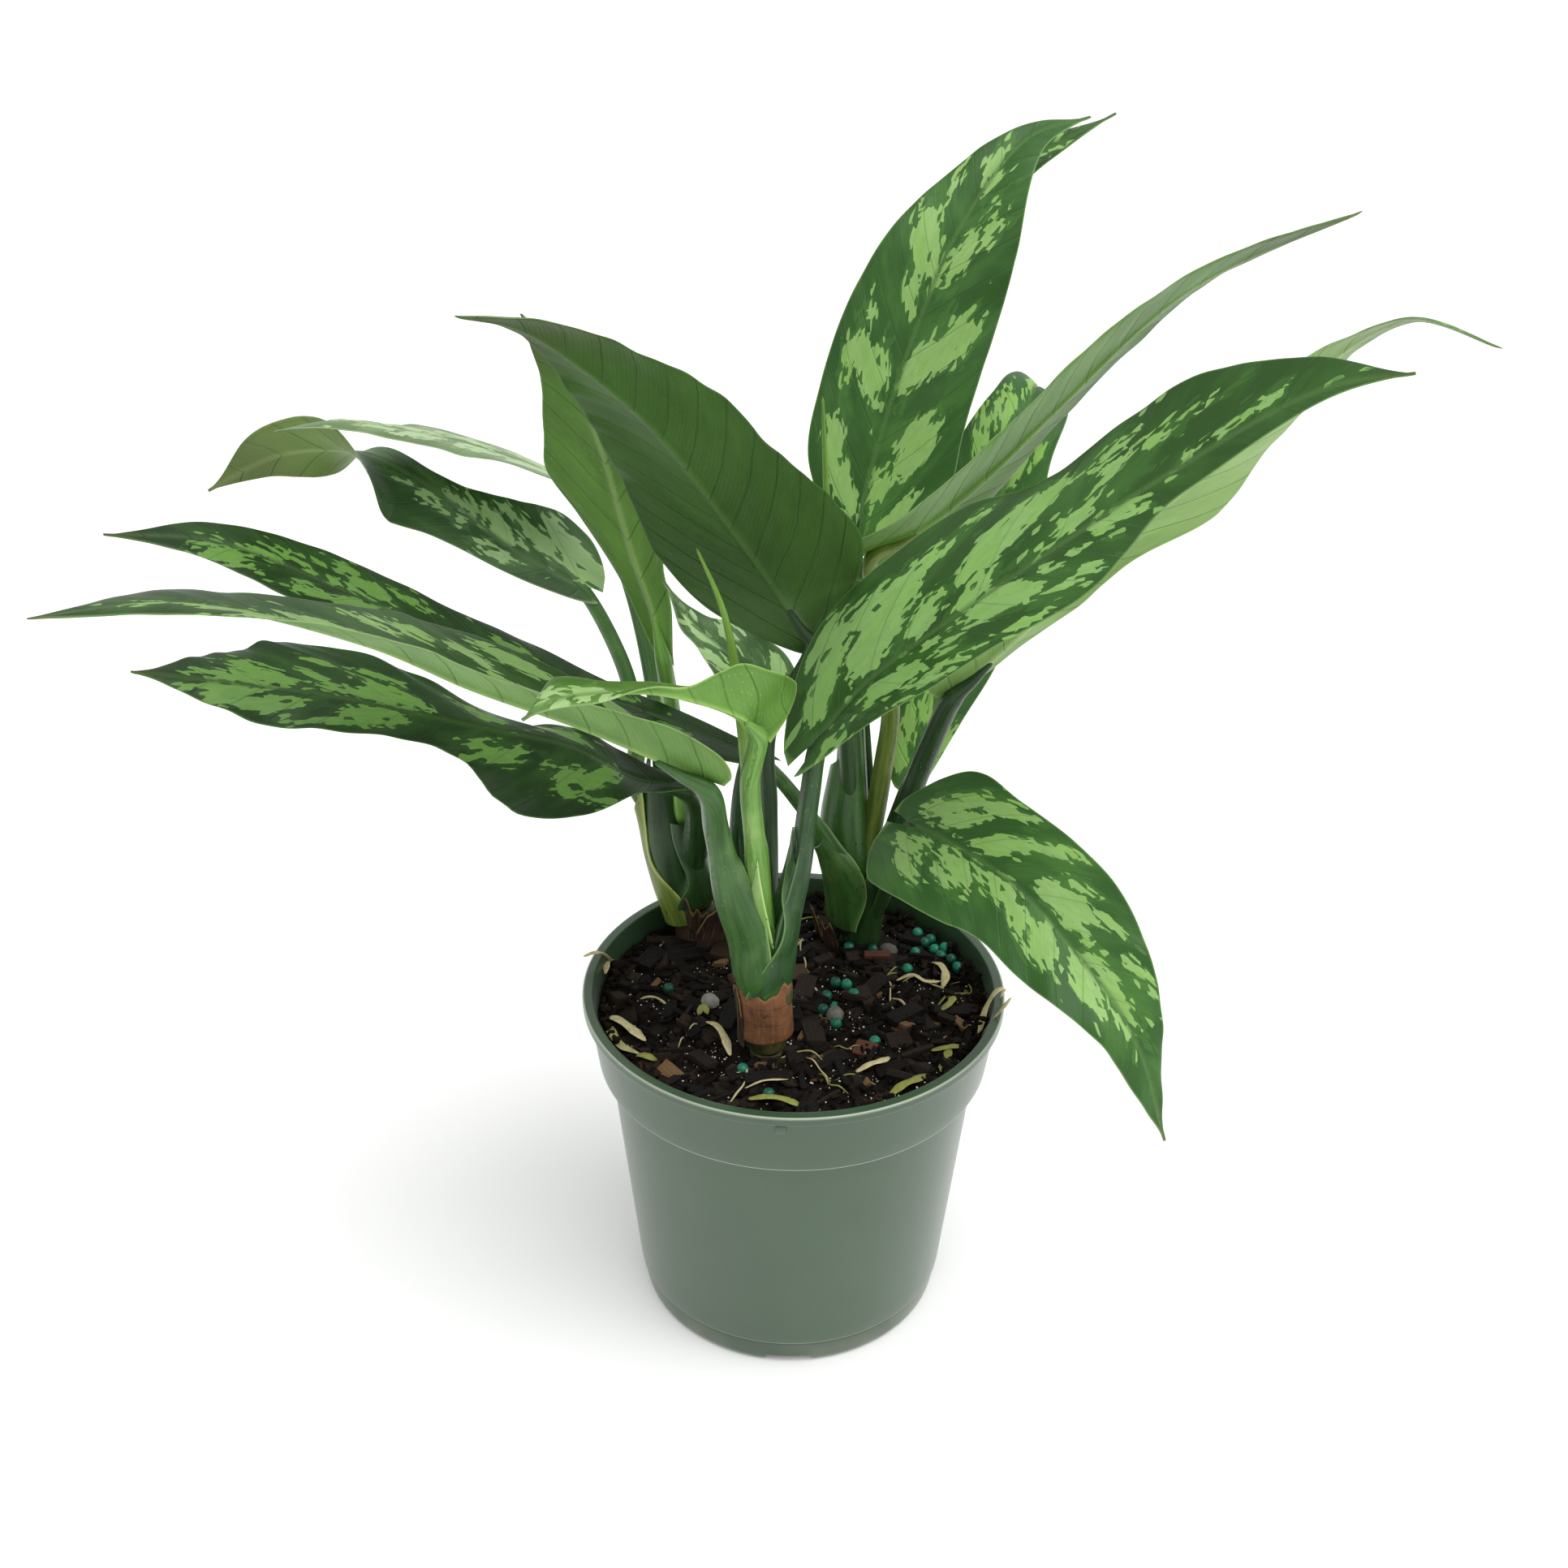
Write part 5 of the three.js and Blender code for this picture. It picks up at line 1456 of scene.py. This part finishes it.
def build_husk(name, husk):
    """A papery leaf base round part of a cane, with a torn upper edge."""
    rng = np.random.default_rng(husk["seed"])
    waves = rng.uniform(0, 2 * math.pi, 4)
    x, y, low, high = husk["place"]
    first, last = (math.radians(a) for a in husk["round"])

    def form(u, s):
        angle = first + (last - first) * u
        torn = sum(np.sin((3 + 4 * k) * u * math.pi + wave) / (k + 1) for k, wave in enumerate(waves))
        top = high + husk["torn"] * (high - low) * torn - (high - low) * 0.35 * np.abs(2 * u - 1) ** 5
        z = low + (top - low) * s
        radius = husk["radius"] + husk["flare"] * s**3 + 0.12 * np.sin(9 * u + 5 * s)
        points = np.stack([x + radius * np.cos(angle), y + radius * np.sin(angle), z], -1)
        points[:, 0] += husk["lean"][0] * (z - low)
        points[:, 1] += husk["lean"][1] * (z - low)
        return points, {"lie": np.stack([z, angle * husk["radius"], s], -1)}

    piece = sheet(name, HUSK_GRID, form)
    apply_modifier(piece, "SOLIDIFY", thickness=HUSK_THICKNESS * MM, offset=0)
    weld(piece, sharp=50)
    settle(piece, finish_of("husk", husk["tone"]))


def build_sheath(name, sheath):
    """The foot of a petiole, as a green sheet wrapped round its stem, with a light margin on both sides."""
    line = spline(sheath["path"])
    length = line[1][-1]

    def form(u, s):
        climbs = sheath["top"][1] > sheath["top"][0]
        top = np.interp(u**2 if climbs else 1 - (1 - u) ** 2, (0, 1), sheath["top"])
        s = np.interp(u, (0, 1), sheath["foot"]) * (1 - s) + s * top
        left, right = (np.radians(smoothly(sheath[side], s)) for side in ("left", "right"))
        radius = smoothly(sheath["radii"], s)
        angle = left + (right - left) * u
        tangent = heading(line, s)
        face, side = square_to(np.broadcast_to(np.array(TO_FRONT, float), tangent.shape), tangent)
        out = face * np.cos(angle)[:, None] - side * np.sin(angle)[:, None]
        rim = np.minimum(u, 1 - u) * (right - left) * radius
        margin = SHEATH_MARGIN_HEIGHT * np.exp(-((rim / SHEATH_MARGIN_BREADTH) ** 2))
        lift = margin + SHEATH_UNEVEN * lumps(on_line(line, s), 9, 3)
        points = on_line(line, s) + out * (radius + lift)[:, None]
        return points, {"lie": np.stack([s * length, angle, s], -1), "rim": rim}

    piece = sheet(name, SHEATH_GRID, form)
    apply_modifier(piece, "SOLIDIFY", thickness=SHEATH_THICKNESS * MM, offset=0)
    weld(piece, sharp=60)
    settle(piece, finish_of("sheath", sheath["tone"]))


def ground(x, y):
    """The height of the soil at a place."""
    middle = 1 - (x * x + y * y) / BAND_RADIUS**2
    a, b, c, d = LUMP_WAVES
    waves = np.sin(a * x + 1) * np.cos(b * y) + SMALL_LUMP_SHARE * np.sin(c * x + d * y)
    fine = lumps(np.stack([x, y, 0 * x], -1), SOIL_LUMP_SIZE, SOIL_SEED) * SOIL_LUMP_HEIGHT
    bank = SOIL_BANK * np.clip(np.hypot(x, y) / BAND_RADIUS, 0, 1) ** 12
    return SOIL_LEVEL + SOIL_MOUND * middle + SOIL_LUMP * waves + fine + bank


def ground_at(x, y):
    """The height of the soil at a single place."""
    return float(ground(np.array([x]), np.array([y]))[0])


def build_soil(settings):
    """The soil as one sheet: out over the floor, up along the wall and back over the lumpy top."""
    slope = (BAND_TOP_RADIUS - BAND_RADIUS) / BAND_HEIGHT
    foot, shoulder, band = (radius - SOIL_INSET for radius in (BASE_RADIUS, BODY_TOP_RADIUS, BAND_RADIUS))
    radii = (0, foot, shoulder, band, band + slope * (SOIL_LEVEL - BAND_BOTTOM), 0)
    heights = (POT_WALL + 0.3, BASE_CORNER + 1, BAND_BOTTOM - 1, BAND_BOTTOM + 1.5, SOIL_LEVEL)
    steps = (0, 0.04, 0.08, 0.12, 0.16, 1)

    def form(u, s):
        angle = 2 * math.pi * u
        radius = np.interp(s, steps, radii)
        x, y = radius * np.cos(angle), radius * np.sin(angle)
        clods = CLOD_HEIGHT * lumps(np.stack([x, y, 0 * x], -1), CLOD_SIZE, SOIL_SEED + 1)
        top = ground(x, y) + clods
        low = np.interp(s, steps[:5], heights)
        return np.stack([x, y, np.where(s >= steps[4], top, low)], -1), {}

    piece = sheet("soil_detail", SOIL_GRID, form)
    weld(piece, sharp=60)
    settle(piece, soil_finish(settings), stands_for="soil")


def random_places(rng, amount, count, sizes, tilt, sink):
    """Places all over the soil, each with a size drawn between the two given ones along each direction."""
    places = []
    low, high = (np.array(size) for size in sizes)
    for _ in range(round(count * amount)):
        radius = SOIL_REACH * math.sqrt(rng.uniform())
        angle = rng.uniform(0, 2 * math.pi)
        x, y = radius * math.cos(angle), radius * math.sin(angle)
        size = low + (high - low) * rng.uniform(size=3) ** 1.6
        z = ground_at(x, y) + size[2] * (0.5 - sink)
        places.append(laid_out(x, y, z, rng.uniform(0, 2 * math.pi), rng.uniform(-tilt, tilt), size))
    return places


def piled_places(rng):
    """Places of crumbs that lie heaped against the pot's wall, lower towards the bare side."""
    places = []
    for _ in range(PILE["count"]):
        angle = rng.uniform(0, 2 * math.pi)
        away = abs((math.degrees(angle) - PILE["bare"] + 180) % 360 - 180)
        height = PILE["height"] * min(1, away / PILE["gap"]) * (0.75 + 0.25 * math.sin(7 * angle))
        climb = rng.uniform()
        radius = PILE["reach"][0] + (PILE["reach"][1] - PILE["reach"][0]) * climb
        x, y = radius * math.cos(angle), radius * math.sin(angle)
        z = ground_at(x, y) + height * climb * rng.uniform(0.3, 1)
        size = [rng.uniform(least, most) for least, most in PILE["sizes"]]
        places.append(laid_out(x, y, z, rng.uniform(0, 2 * math.pi), rng.uniform(-0.8, 0.8), size))
    return places


def chip_model(seed):
    """A split piece of bark, one unit in size, with its own chart for the grain."""
    piece = added(bpy.ops.mesh.primitive_cube_add, size=1)
    bpy.ops.object.mode_set(mode="EDIT")
    bpy.ops.mesh.subdivide(number_cuts=2, smoothness=0.2, fractal=0.75, fractal_along_normal=0.4, seed=seed)
    bpy.ops.object.mode_set(mode="OBJECT")
    note(piece, "own", corners_of(piece))
    bpy.ops.object.shade_smooth_by_angle(angle=math.radians(35))
    return piece


def ball_model(seed, detail, rough):
    """A rough round bit, one unit across."""
    piece = added(bpy.ops.mesh.primitive_ico_sphere_add, subdivisions=detail, radius=0.5)
    bpy.ops.object.mode_set(mode="EDIT")
    bpy.ops.transform.vertex_random(offset=rough, uniform=0.3, seed=seed)
    bpy.ops.object.mode_set(mode="OBJECT")
    bpy.ops.object.shade_smooth_by_angle(angle=math.radians(50))
    return piece


def build_bits(settings):
    """Bark, crumbs, perlite, grains of feed and pebbles on the soil, each kind drawn from a few models."""
    rng = np.random.default_rng(SOIL_SEED)
    amount = settings.bit_density
    places = random_places(rng, amount, *SCATTERED_BARK)
    for x, y, turn, *size in CHIPS:
        places.append(laid_out(x, y, ground_at(x, y) + CHIP_LIFT, math.radians(turn), 0.1, size))
    chips = copies("bark_chips", [chip_model(seed) for seed in range(8)], places)
    settle(chips, bark_finish())
    places = random_places(rng, amount, *SCATTERED_CRUMBS) + piled_places(rng)
    crumbs = copies("soil_crumbs", [ball_model(seed, 2, 0.12) for seed in range(5)], places)
    settle(crumbs, crumb_finish())
    places = random_places(rng, amount, *SCATTERED_PERLITE)
    perlite = copies("perlite", [ball_model(seed + 20, 1, 0.07) for seed in range(4)], places)
    settle(perlite, mineral_finish("perlite", "#b9b6a8", "#f1efe6", 0.85, 1500.0, 0.3))
    places = [bit_place(x, y, GRAIN_SIZE, i) for i, (x, y) in enumerate(GRAINS)]
    grains = copies("feed_grains", [ball_model(seed + 30, 3, 0.012) for seed in range(3)], places)
    settle(grains, mineral_finish("feed_grains", "#064433", "#1f8264", 0.3, 700.0, 0.08))
    places = [bit_place(x, y, PEBBLE_SIZE, i) for i, (x, y) in enumerate(PEBBLES)]
    pebbles = copies("pebbles", [ball_model(seed + 40, 3, 0.05) for seed in range(3)], places)
    settle(pebbles, mineral_finish("pebbles", "#55534c", "#9d9b92", 0.8, 600.0, 0.4))


def bit_place(x, y, size, i):
    return laid_out(x, y, ground_at(x, y) + size[2] * 0.35, i * 2.4, 0.2, size)


def build_roots():
    """Pale roots and straws on the soil, some of them over the rim."""
    rng = np.random.default_rng(ROOT_SEED)
    roots = []
    for _ in range(LOOSE_ROOTS):
        radius = SOIL_REACH * 0.9 * math.sqrt(rng.uniform())
        angle = rng.uniform(0, 2 * math.pi)
        turn = rng.uniform(0, 2 * math.pi)
        x, y = radius * math.cos(angle), radius * math.sin(angle)
        step = rng.uniform(*ROOT_STEPS)
        points = []
        for k in range(5):
            lift = 0.2 if k in (0, 4) else rng.uniform(*ROOT_LIFTS)
            points.append((x, y, ground_at(x, y) + lift))
            turn += rng.uniform(-ROOT_BEND, ROOT_BEND)
            if math.hypot(x + step * math.cos(turn), y + step * math.sin(turn)) > SOIL_REACH:
                turn += math.pi / 2
            x, y = x + step * math.cos(turn), y + step * math.sin(turn)
        roots.append((points, rng.uniform(*ROOT_RADII), rng.uniform()))

    def flat(angle, s):
        return STRAW_THINNESS / np.hypot(np.cos(angle), STRAW_THINNESS * np.sin(angle))

    pieces = []
    for i, (points, radius, shade) in enumerate(roots + STRAWS):
        radii = [radius * share for share in ROOT_TAPER]
        around, shape = (16, flat) if i >= len(roots) else (8, None)
        piece = tube(f"root_{i}", points, radii, (0.1, 0.2, 1), (around, 30), shape)
        note(piece, "shade", np.full(len(piece.data.vertices), shade))
        pieces.append(piece)
    settle(join("roots", pieces), root_finish())


def pot_outline():
    """The wall's outline, from the middle of the floor up outside, over the lip and down inside, each corner
    with the radius that rounds it."""
    top = POT_HEIGHT
    return [
        ((0, 0), 0),
        ((BASE_RADIUS - BASE_CORNER - 2, 0), 0.3),
        ((BASE_RADIUS - BASE_CORNER - 1.4, 0.0), 0.3),
        ((BASE_RADIUS - 0.6, 0), 2.4),
        ((BASE_RADIUS, 7), 0.2),
        ((BASE_RADIUS - 0.15, 7.5), 0.15),
        ((BASE_RADIUS + 0.8, 8.3), 0.2),
        ((BODY_TOP_RADIUS, BAND_BOTTOM), 0.25),
        ((BAND_RADIUS, BAND_BOTTOM + 0.5), 0.45),
        ((BAND_TOP_RADIUS, top - LIP_HEIGHT), 0.25),
        ((LIP_RADIUS, top - LIP_HEIGHT + 0.5), 0.5),
        ((LIP_RADIUS, top), 0.55),
        ((BAND_TOP_RADIUS - POT_WALL, top), 0.5),
        ((BAND_RADIUS - POT_WALL, BAND_BOTTOM + 1), 0.3),
        ((BODY_TOP_RADIUS - POT_WALL, BAND_BOTTOM - 1), 0.3),
        ((BASE_RADIUS - POT_WALL, BASE_CORNER), 1),
        ((BASE_RADIUS - BASE_CORNER, POT_WALL), 1),
        ((0, POT_WALL), 0),
    ]


def rounded(corners, steps=4, span=5):
    """A line through corners, each cut by a curve of its radius, with long stretches divided."""
    line = [np.array(corners[0][0], float)]
    for (before, _), (corner, radius), (after, _) in zip(corners, corners[1:], corners[2:]):
        before, corner, after = (np.array(p, float) for p in (before, corner, after))
        reach = min(radius, np.linalg.norm(before - corner) / 2, np.linalg.norm(after - corner) / 2)
        start = corner + unit(before - corner) * reach
        end = corner + unit(after - corner) * reach
        for k in range(steps + 1):
            t = k / steps
            line.append((1 - t) ** 2 * start + 2 * t * (1 - t) * corner + t * t * end)
    line.append(np.array(corners[-1][0], float))
    divided = [line[0]]
    for a, b in zip(line, line[1:]):
        parts = max(1, math.ceil(np.linalg.norm(b - a) / span))
        divided += [a + (b - a) * (k + 1) / parts for k in range(parts)]
    return np.array(divided)


def build_pot(settings):
    """The pot's wall and floor from one outline, with cut drain slots and a tab under the lip."""
    outline = rounded(pot_outline())

    def form(u, s):
        radius, height = stepwise(outline, s).T
        angle = 2 * math.pi * u
        return np.stack([radius * np.cos(angle), radius * np.sin(angle), height], -1), {}

    wall = sheet("pot_wall", (POT_AROUND, len(outline) - 1), form)
    weld(wall, sharp=40)
    width, depth, height = DRAIN_SLOT
    slot = laid_out(0, -BASE_RADIUS, (height - 1) / 2, 0, 0, (width, depth, height + 1))
    for i in range(DRAIN_SLOTS):
        cutter = added(bpy.ops.mesh.primitive_cube_add, size=1)
        cutter.data.transform(Matrix.Rotation(i * 2 * math.pi / DRAIN_SLOTS, 4, "Z") @ slot)
        apply_modifier(wall, "BOOLEAN", object=cutter, operation="DIFFERENCE", solver="EXACT")
        bpy.data.objects.remove(cutter)
    tab = added(bpy.ops.mesh.primitive_cube_add, size=1)
    lean = math.atan2(BAND_TOP_RADIUS - BAND_RADIUS, BAND_HEIGHT)
    below_lip = POT_HEIGHT - LIP_HEIGHT - 1.6
    tab.data.transform(laid_out(TAB_X, -BAND_TOP_RADIUS + 0.15, below_lip, 0, lean, TAB_SIZE))
    apply_modifier(tab, "BEVEL", width=0.2 * MM, segments=2)
    piece = join("pot_detail", [wall, tab])
    weld(piece, sharp=30)
    settle(piece, pot_finish(settings), stands_for="pot")


def soft_sun(name, place, spread, power):
    """A broad, even light from a far place towards the plant."""
    light = bpy.data.lights.new(name, "SUN")
    light.angle = math.radians(spread)
    light.energy = power
    lamp = bpy.data.objects.new(name, light)
    lamp.location = place
    lamp.rotation_euler = Vector(place).to_track_quat("Z", "Y").to_euler()
    bpy.context.scene.collection.objects.link(lamp)


def build_stage(settings):
    """A white floor, soft light from above and the camera at the photograph's angle."""
    floor = added(bpy.ops.mesh.primitive_circle_add, vertices=128, radius=FLOOR_RADIUS, fill_type="NGON")
    floor.name = "floor"
    floor.data.materials.append(floor_finish(settings))
    world = bpy.data.worlds.new("studio")
    bpy.context.scene.world = world
    world.use_nodes = True
    world.node_tree.nodes["Background"].inputs["Color"].default_value = (1, 1, 1, 1)
    world.node_tree.nodes["Background"].inputs["Strength"].default_value = settings.room_light
    bpy.context.scene.view_settings.view_transform = "Standard"
    soft_sun("main_light", MAIN_LIGHT_PLACE, MAIN_LIGHT_SPREAD, settings.main_light)
    soft_sun("side_light", SIDE_LIGHT_PLACE, SIDE_LIGHT_SPREAD, settings.side_light)
    camera = bpy.data.cameras.new("camera")
    camera.lens = CAMERA_LENS
    camera.sensor_width = CAMERA_SENSOR
    camera.clip_start = 0.01
    view = bpy.data.objects.new("camera", camera)
    view.location = CAMERA_PLACE
    view.rotation_mode = "ZYX"
    view.rotation_euler = (math.radians(90 - CAMERA_DOWN), 0, math.radians(CAMERA_ROLL))
    bpy.context.scene.collection.objects.link(view)
    bpy.context.scene.camera = view


def colour_property(name, description, code):
    return bpy.props.FloatVectorProperty(
        name=name, description=description, default=linear(code), subtype="COLOR", size=3, min=0, max=1)


class PotSettings(bpy.types.PropertyGroup):
    plastic: colour_property("Plastic", "Colour of the pot", "#304b31")


class SoilSettings(bpy.types.PropertyGroup):
    peat: colour_property("Peat", "Colour of the soil between the bark pieces", "#1a1512")
    bit_density: bpy.props.FloatProperty(
        name="Loose bits", description="How many bark pieces, crumbs and perlite lie on the soil", default=1,
        min=0, max=2, subtype="FACTOR")


class LeafSettings(bpy.types.PropertyGroup):
    young_green: colour_property("Young green", "Colour of the rolled young leaves", "#86b648")


class StageSettings(bpy.types.PropertyGroup):
    floor: colour_property("Floor", "Colour of the floor", "#f7f7f7")
    room_light: bpy.props.FloatProperty(
        name="Room light", description="Strength of the light from all round", default=0.72, min=0)
    main_light: bpy.props.FloatProperty(
        name="Main light", description="Strength of the light from above", default=1.7, min=0)
    side_light: bpy.props.FloatProperty(
        name="Side light", description="Strength of the light from the right", default=0.55, min=0)
    floor_glow: bpy.props.FloatProperty(
        name="Floor glow", description="How brightly the white floor shines by itself", default=0.12, min=0)


class EVERGREEN_OT_pot(bpy.types.Operator):
    """Build the nursery pot"""

    bl_idname = "evergreen.pot"
    bl_label = "Pot"

    def execute(self, context):
        build_pot(context.scene.evergreen_pot)
        return {"FINISHED"}


class EVERGREEN_OT_soil(bpy.types.Operator):
    """Build the potting soil"""

    bl_idname = "evergreen.soil"
    bl_label = "Soil"

    def execute(self, context):
        build_soil(context.scene.evergreen_soil)
        return {"FINISHED"}


class EVERGREEN_OT_bits(bpy.types.Operator):
    """Scatter bark, crumbs, perlite, feed grains and pebbles on the soil"""

    bl_idname = "evergreen.bits"
    bl_label = "Loose Bits"

    def execute(self, context):
        build_bits(context.scene.evergreen_soil)
        return {"FINISHED"}


class EVERGREEN_OT_roots(bpy.types.Operator):
    """Lay pale roots and straws on the soil"""

    bl_idname = "evergreen.roots"
    bl_label = "Roots"

    def execute(self, context):
        build_roots()
        return {"FINISHED"}


class EVERGREEN_OT_canes(bpy.types.Operator):
    """Build the canes and the papery leaf bases round them"""

    bl_idname = "evergreen.canes"
    bl_label = "Canes"

    def execute(self, context):
        for name in CANES:
            build_cane(name)
        for name, husk in HUSKS.items():
            build_husk(name, husk)
        for name, sheath in SHEATHS.items():
            build_sheath(name, sheath)
        return {"FINISHED"}


class EVERGREEN_OT_leaves(bpy.types.Operator):
    """Build the open leaves with their petioles"""

    bl_idname = "evergreen.leaves"
    bl_label = "Leaves"

    def execute(self, context):
        for number, name in enumerate(LEAVES):
            build_leaf(name, number)
        return {"FINISHED"}


class EVERGREEN_OT_spears(bpy.types.Operator):
    """Build the rolled young leaves"""

    bl_idname = "evergreen.spears"
    bl_label = "Rolled Leaves"

    def execute(self, context):
        for number, name in enumerate(SPEARS):
            build_spear(name, number, context.scene.evergreen_leaves)
        return {"FINISHED"}


class EVERGREEN_OT_stage(bpy.types.Operator):
    """Set up the floor, the light and the camera"""

    bl_idname = "evergreen.stage"
    bl_label = "Stage"

    def execute(self, context):
        build_stage(context.scene.evergreen_stage)
        return {"FINISHED"}


SETTINGS = {
    "evergreen_pot": PotSettings,
    "evergreen_soil": SoilSettings,
    "evergreen_leaves": LeafSettings,
    "evergreen_stage": StageSettings,
}
OPERATORS = (
    EVERGREEN_OT_pot,
    EVERGREEN_OT_soil,
    EVERGREEN_OT_bits,
    EVERGREEN_OT_roots,
    EVERGREEN_OT_canes,
    EVERGREEN_OT_leaves,
    EVERGREEN_OT_spears,
    EVERGREEN_OT_stage,
)


class EVERGREEN_PT_panel(bpy.types.Panel):
    """Colours, lights, the amount of loose bits and the building steps of the potted plant"""

    bl_idname = "EVERGREEN_PT_panel"
    bl_label = "Potted Chinese Evergreen"
    bl_space_type = "VIEW_3D"
    bl_region_type = "UI"
    bl_category = "Evergreen"

    def draw(self, context):
        for key, kind in SETTINGS.items():
            box = self.layout.box()
            for name in kind.__annotations__:
                box.prop(getattr(context.scene, key), name)
        column = self.layout.column()
        for kind in OPERATORS:
            column.operator(kind.bl_idname)


def register():
    for kind in (*SETTINGS.values(), *OPERATORS, EVERGREEN_PT_panel):
        bpy.utils.register_class(kind)
    for key, kind in SETTINGS.items():
        setattr(bpy.types.Scene, key, bpy.props.PointerProperty(type=kind))


def unregister():
    for key in SETTINGS:
        delattr(bpy.types.Scene, key)
    for kind in (EVERGREEN_PT_panel, *reversed(OPERATORS), *SETTINGS.values()):
        bpy.utils.unregister_class(kind)


def main():
    register()
    bpy.ops.evergreen.pot()
    bpy.ops.evergreen.soil()
    bpy.ops.evergreen.bits()
    bpy.ops.evergreen.roots()
    bpy.ops.evergreen.canes()
    bpy.ops.evergreen.leaves()
    bpy.ops.evergreen.spears()
    bpy.ops.evergreen.stage()


if __name__ == "__main__":
    main()
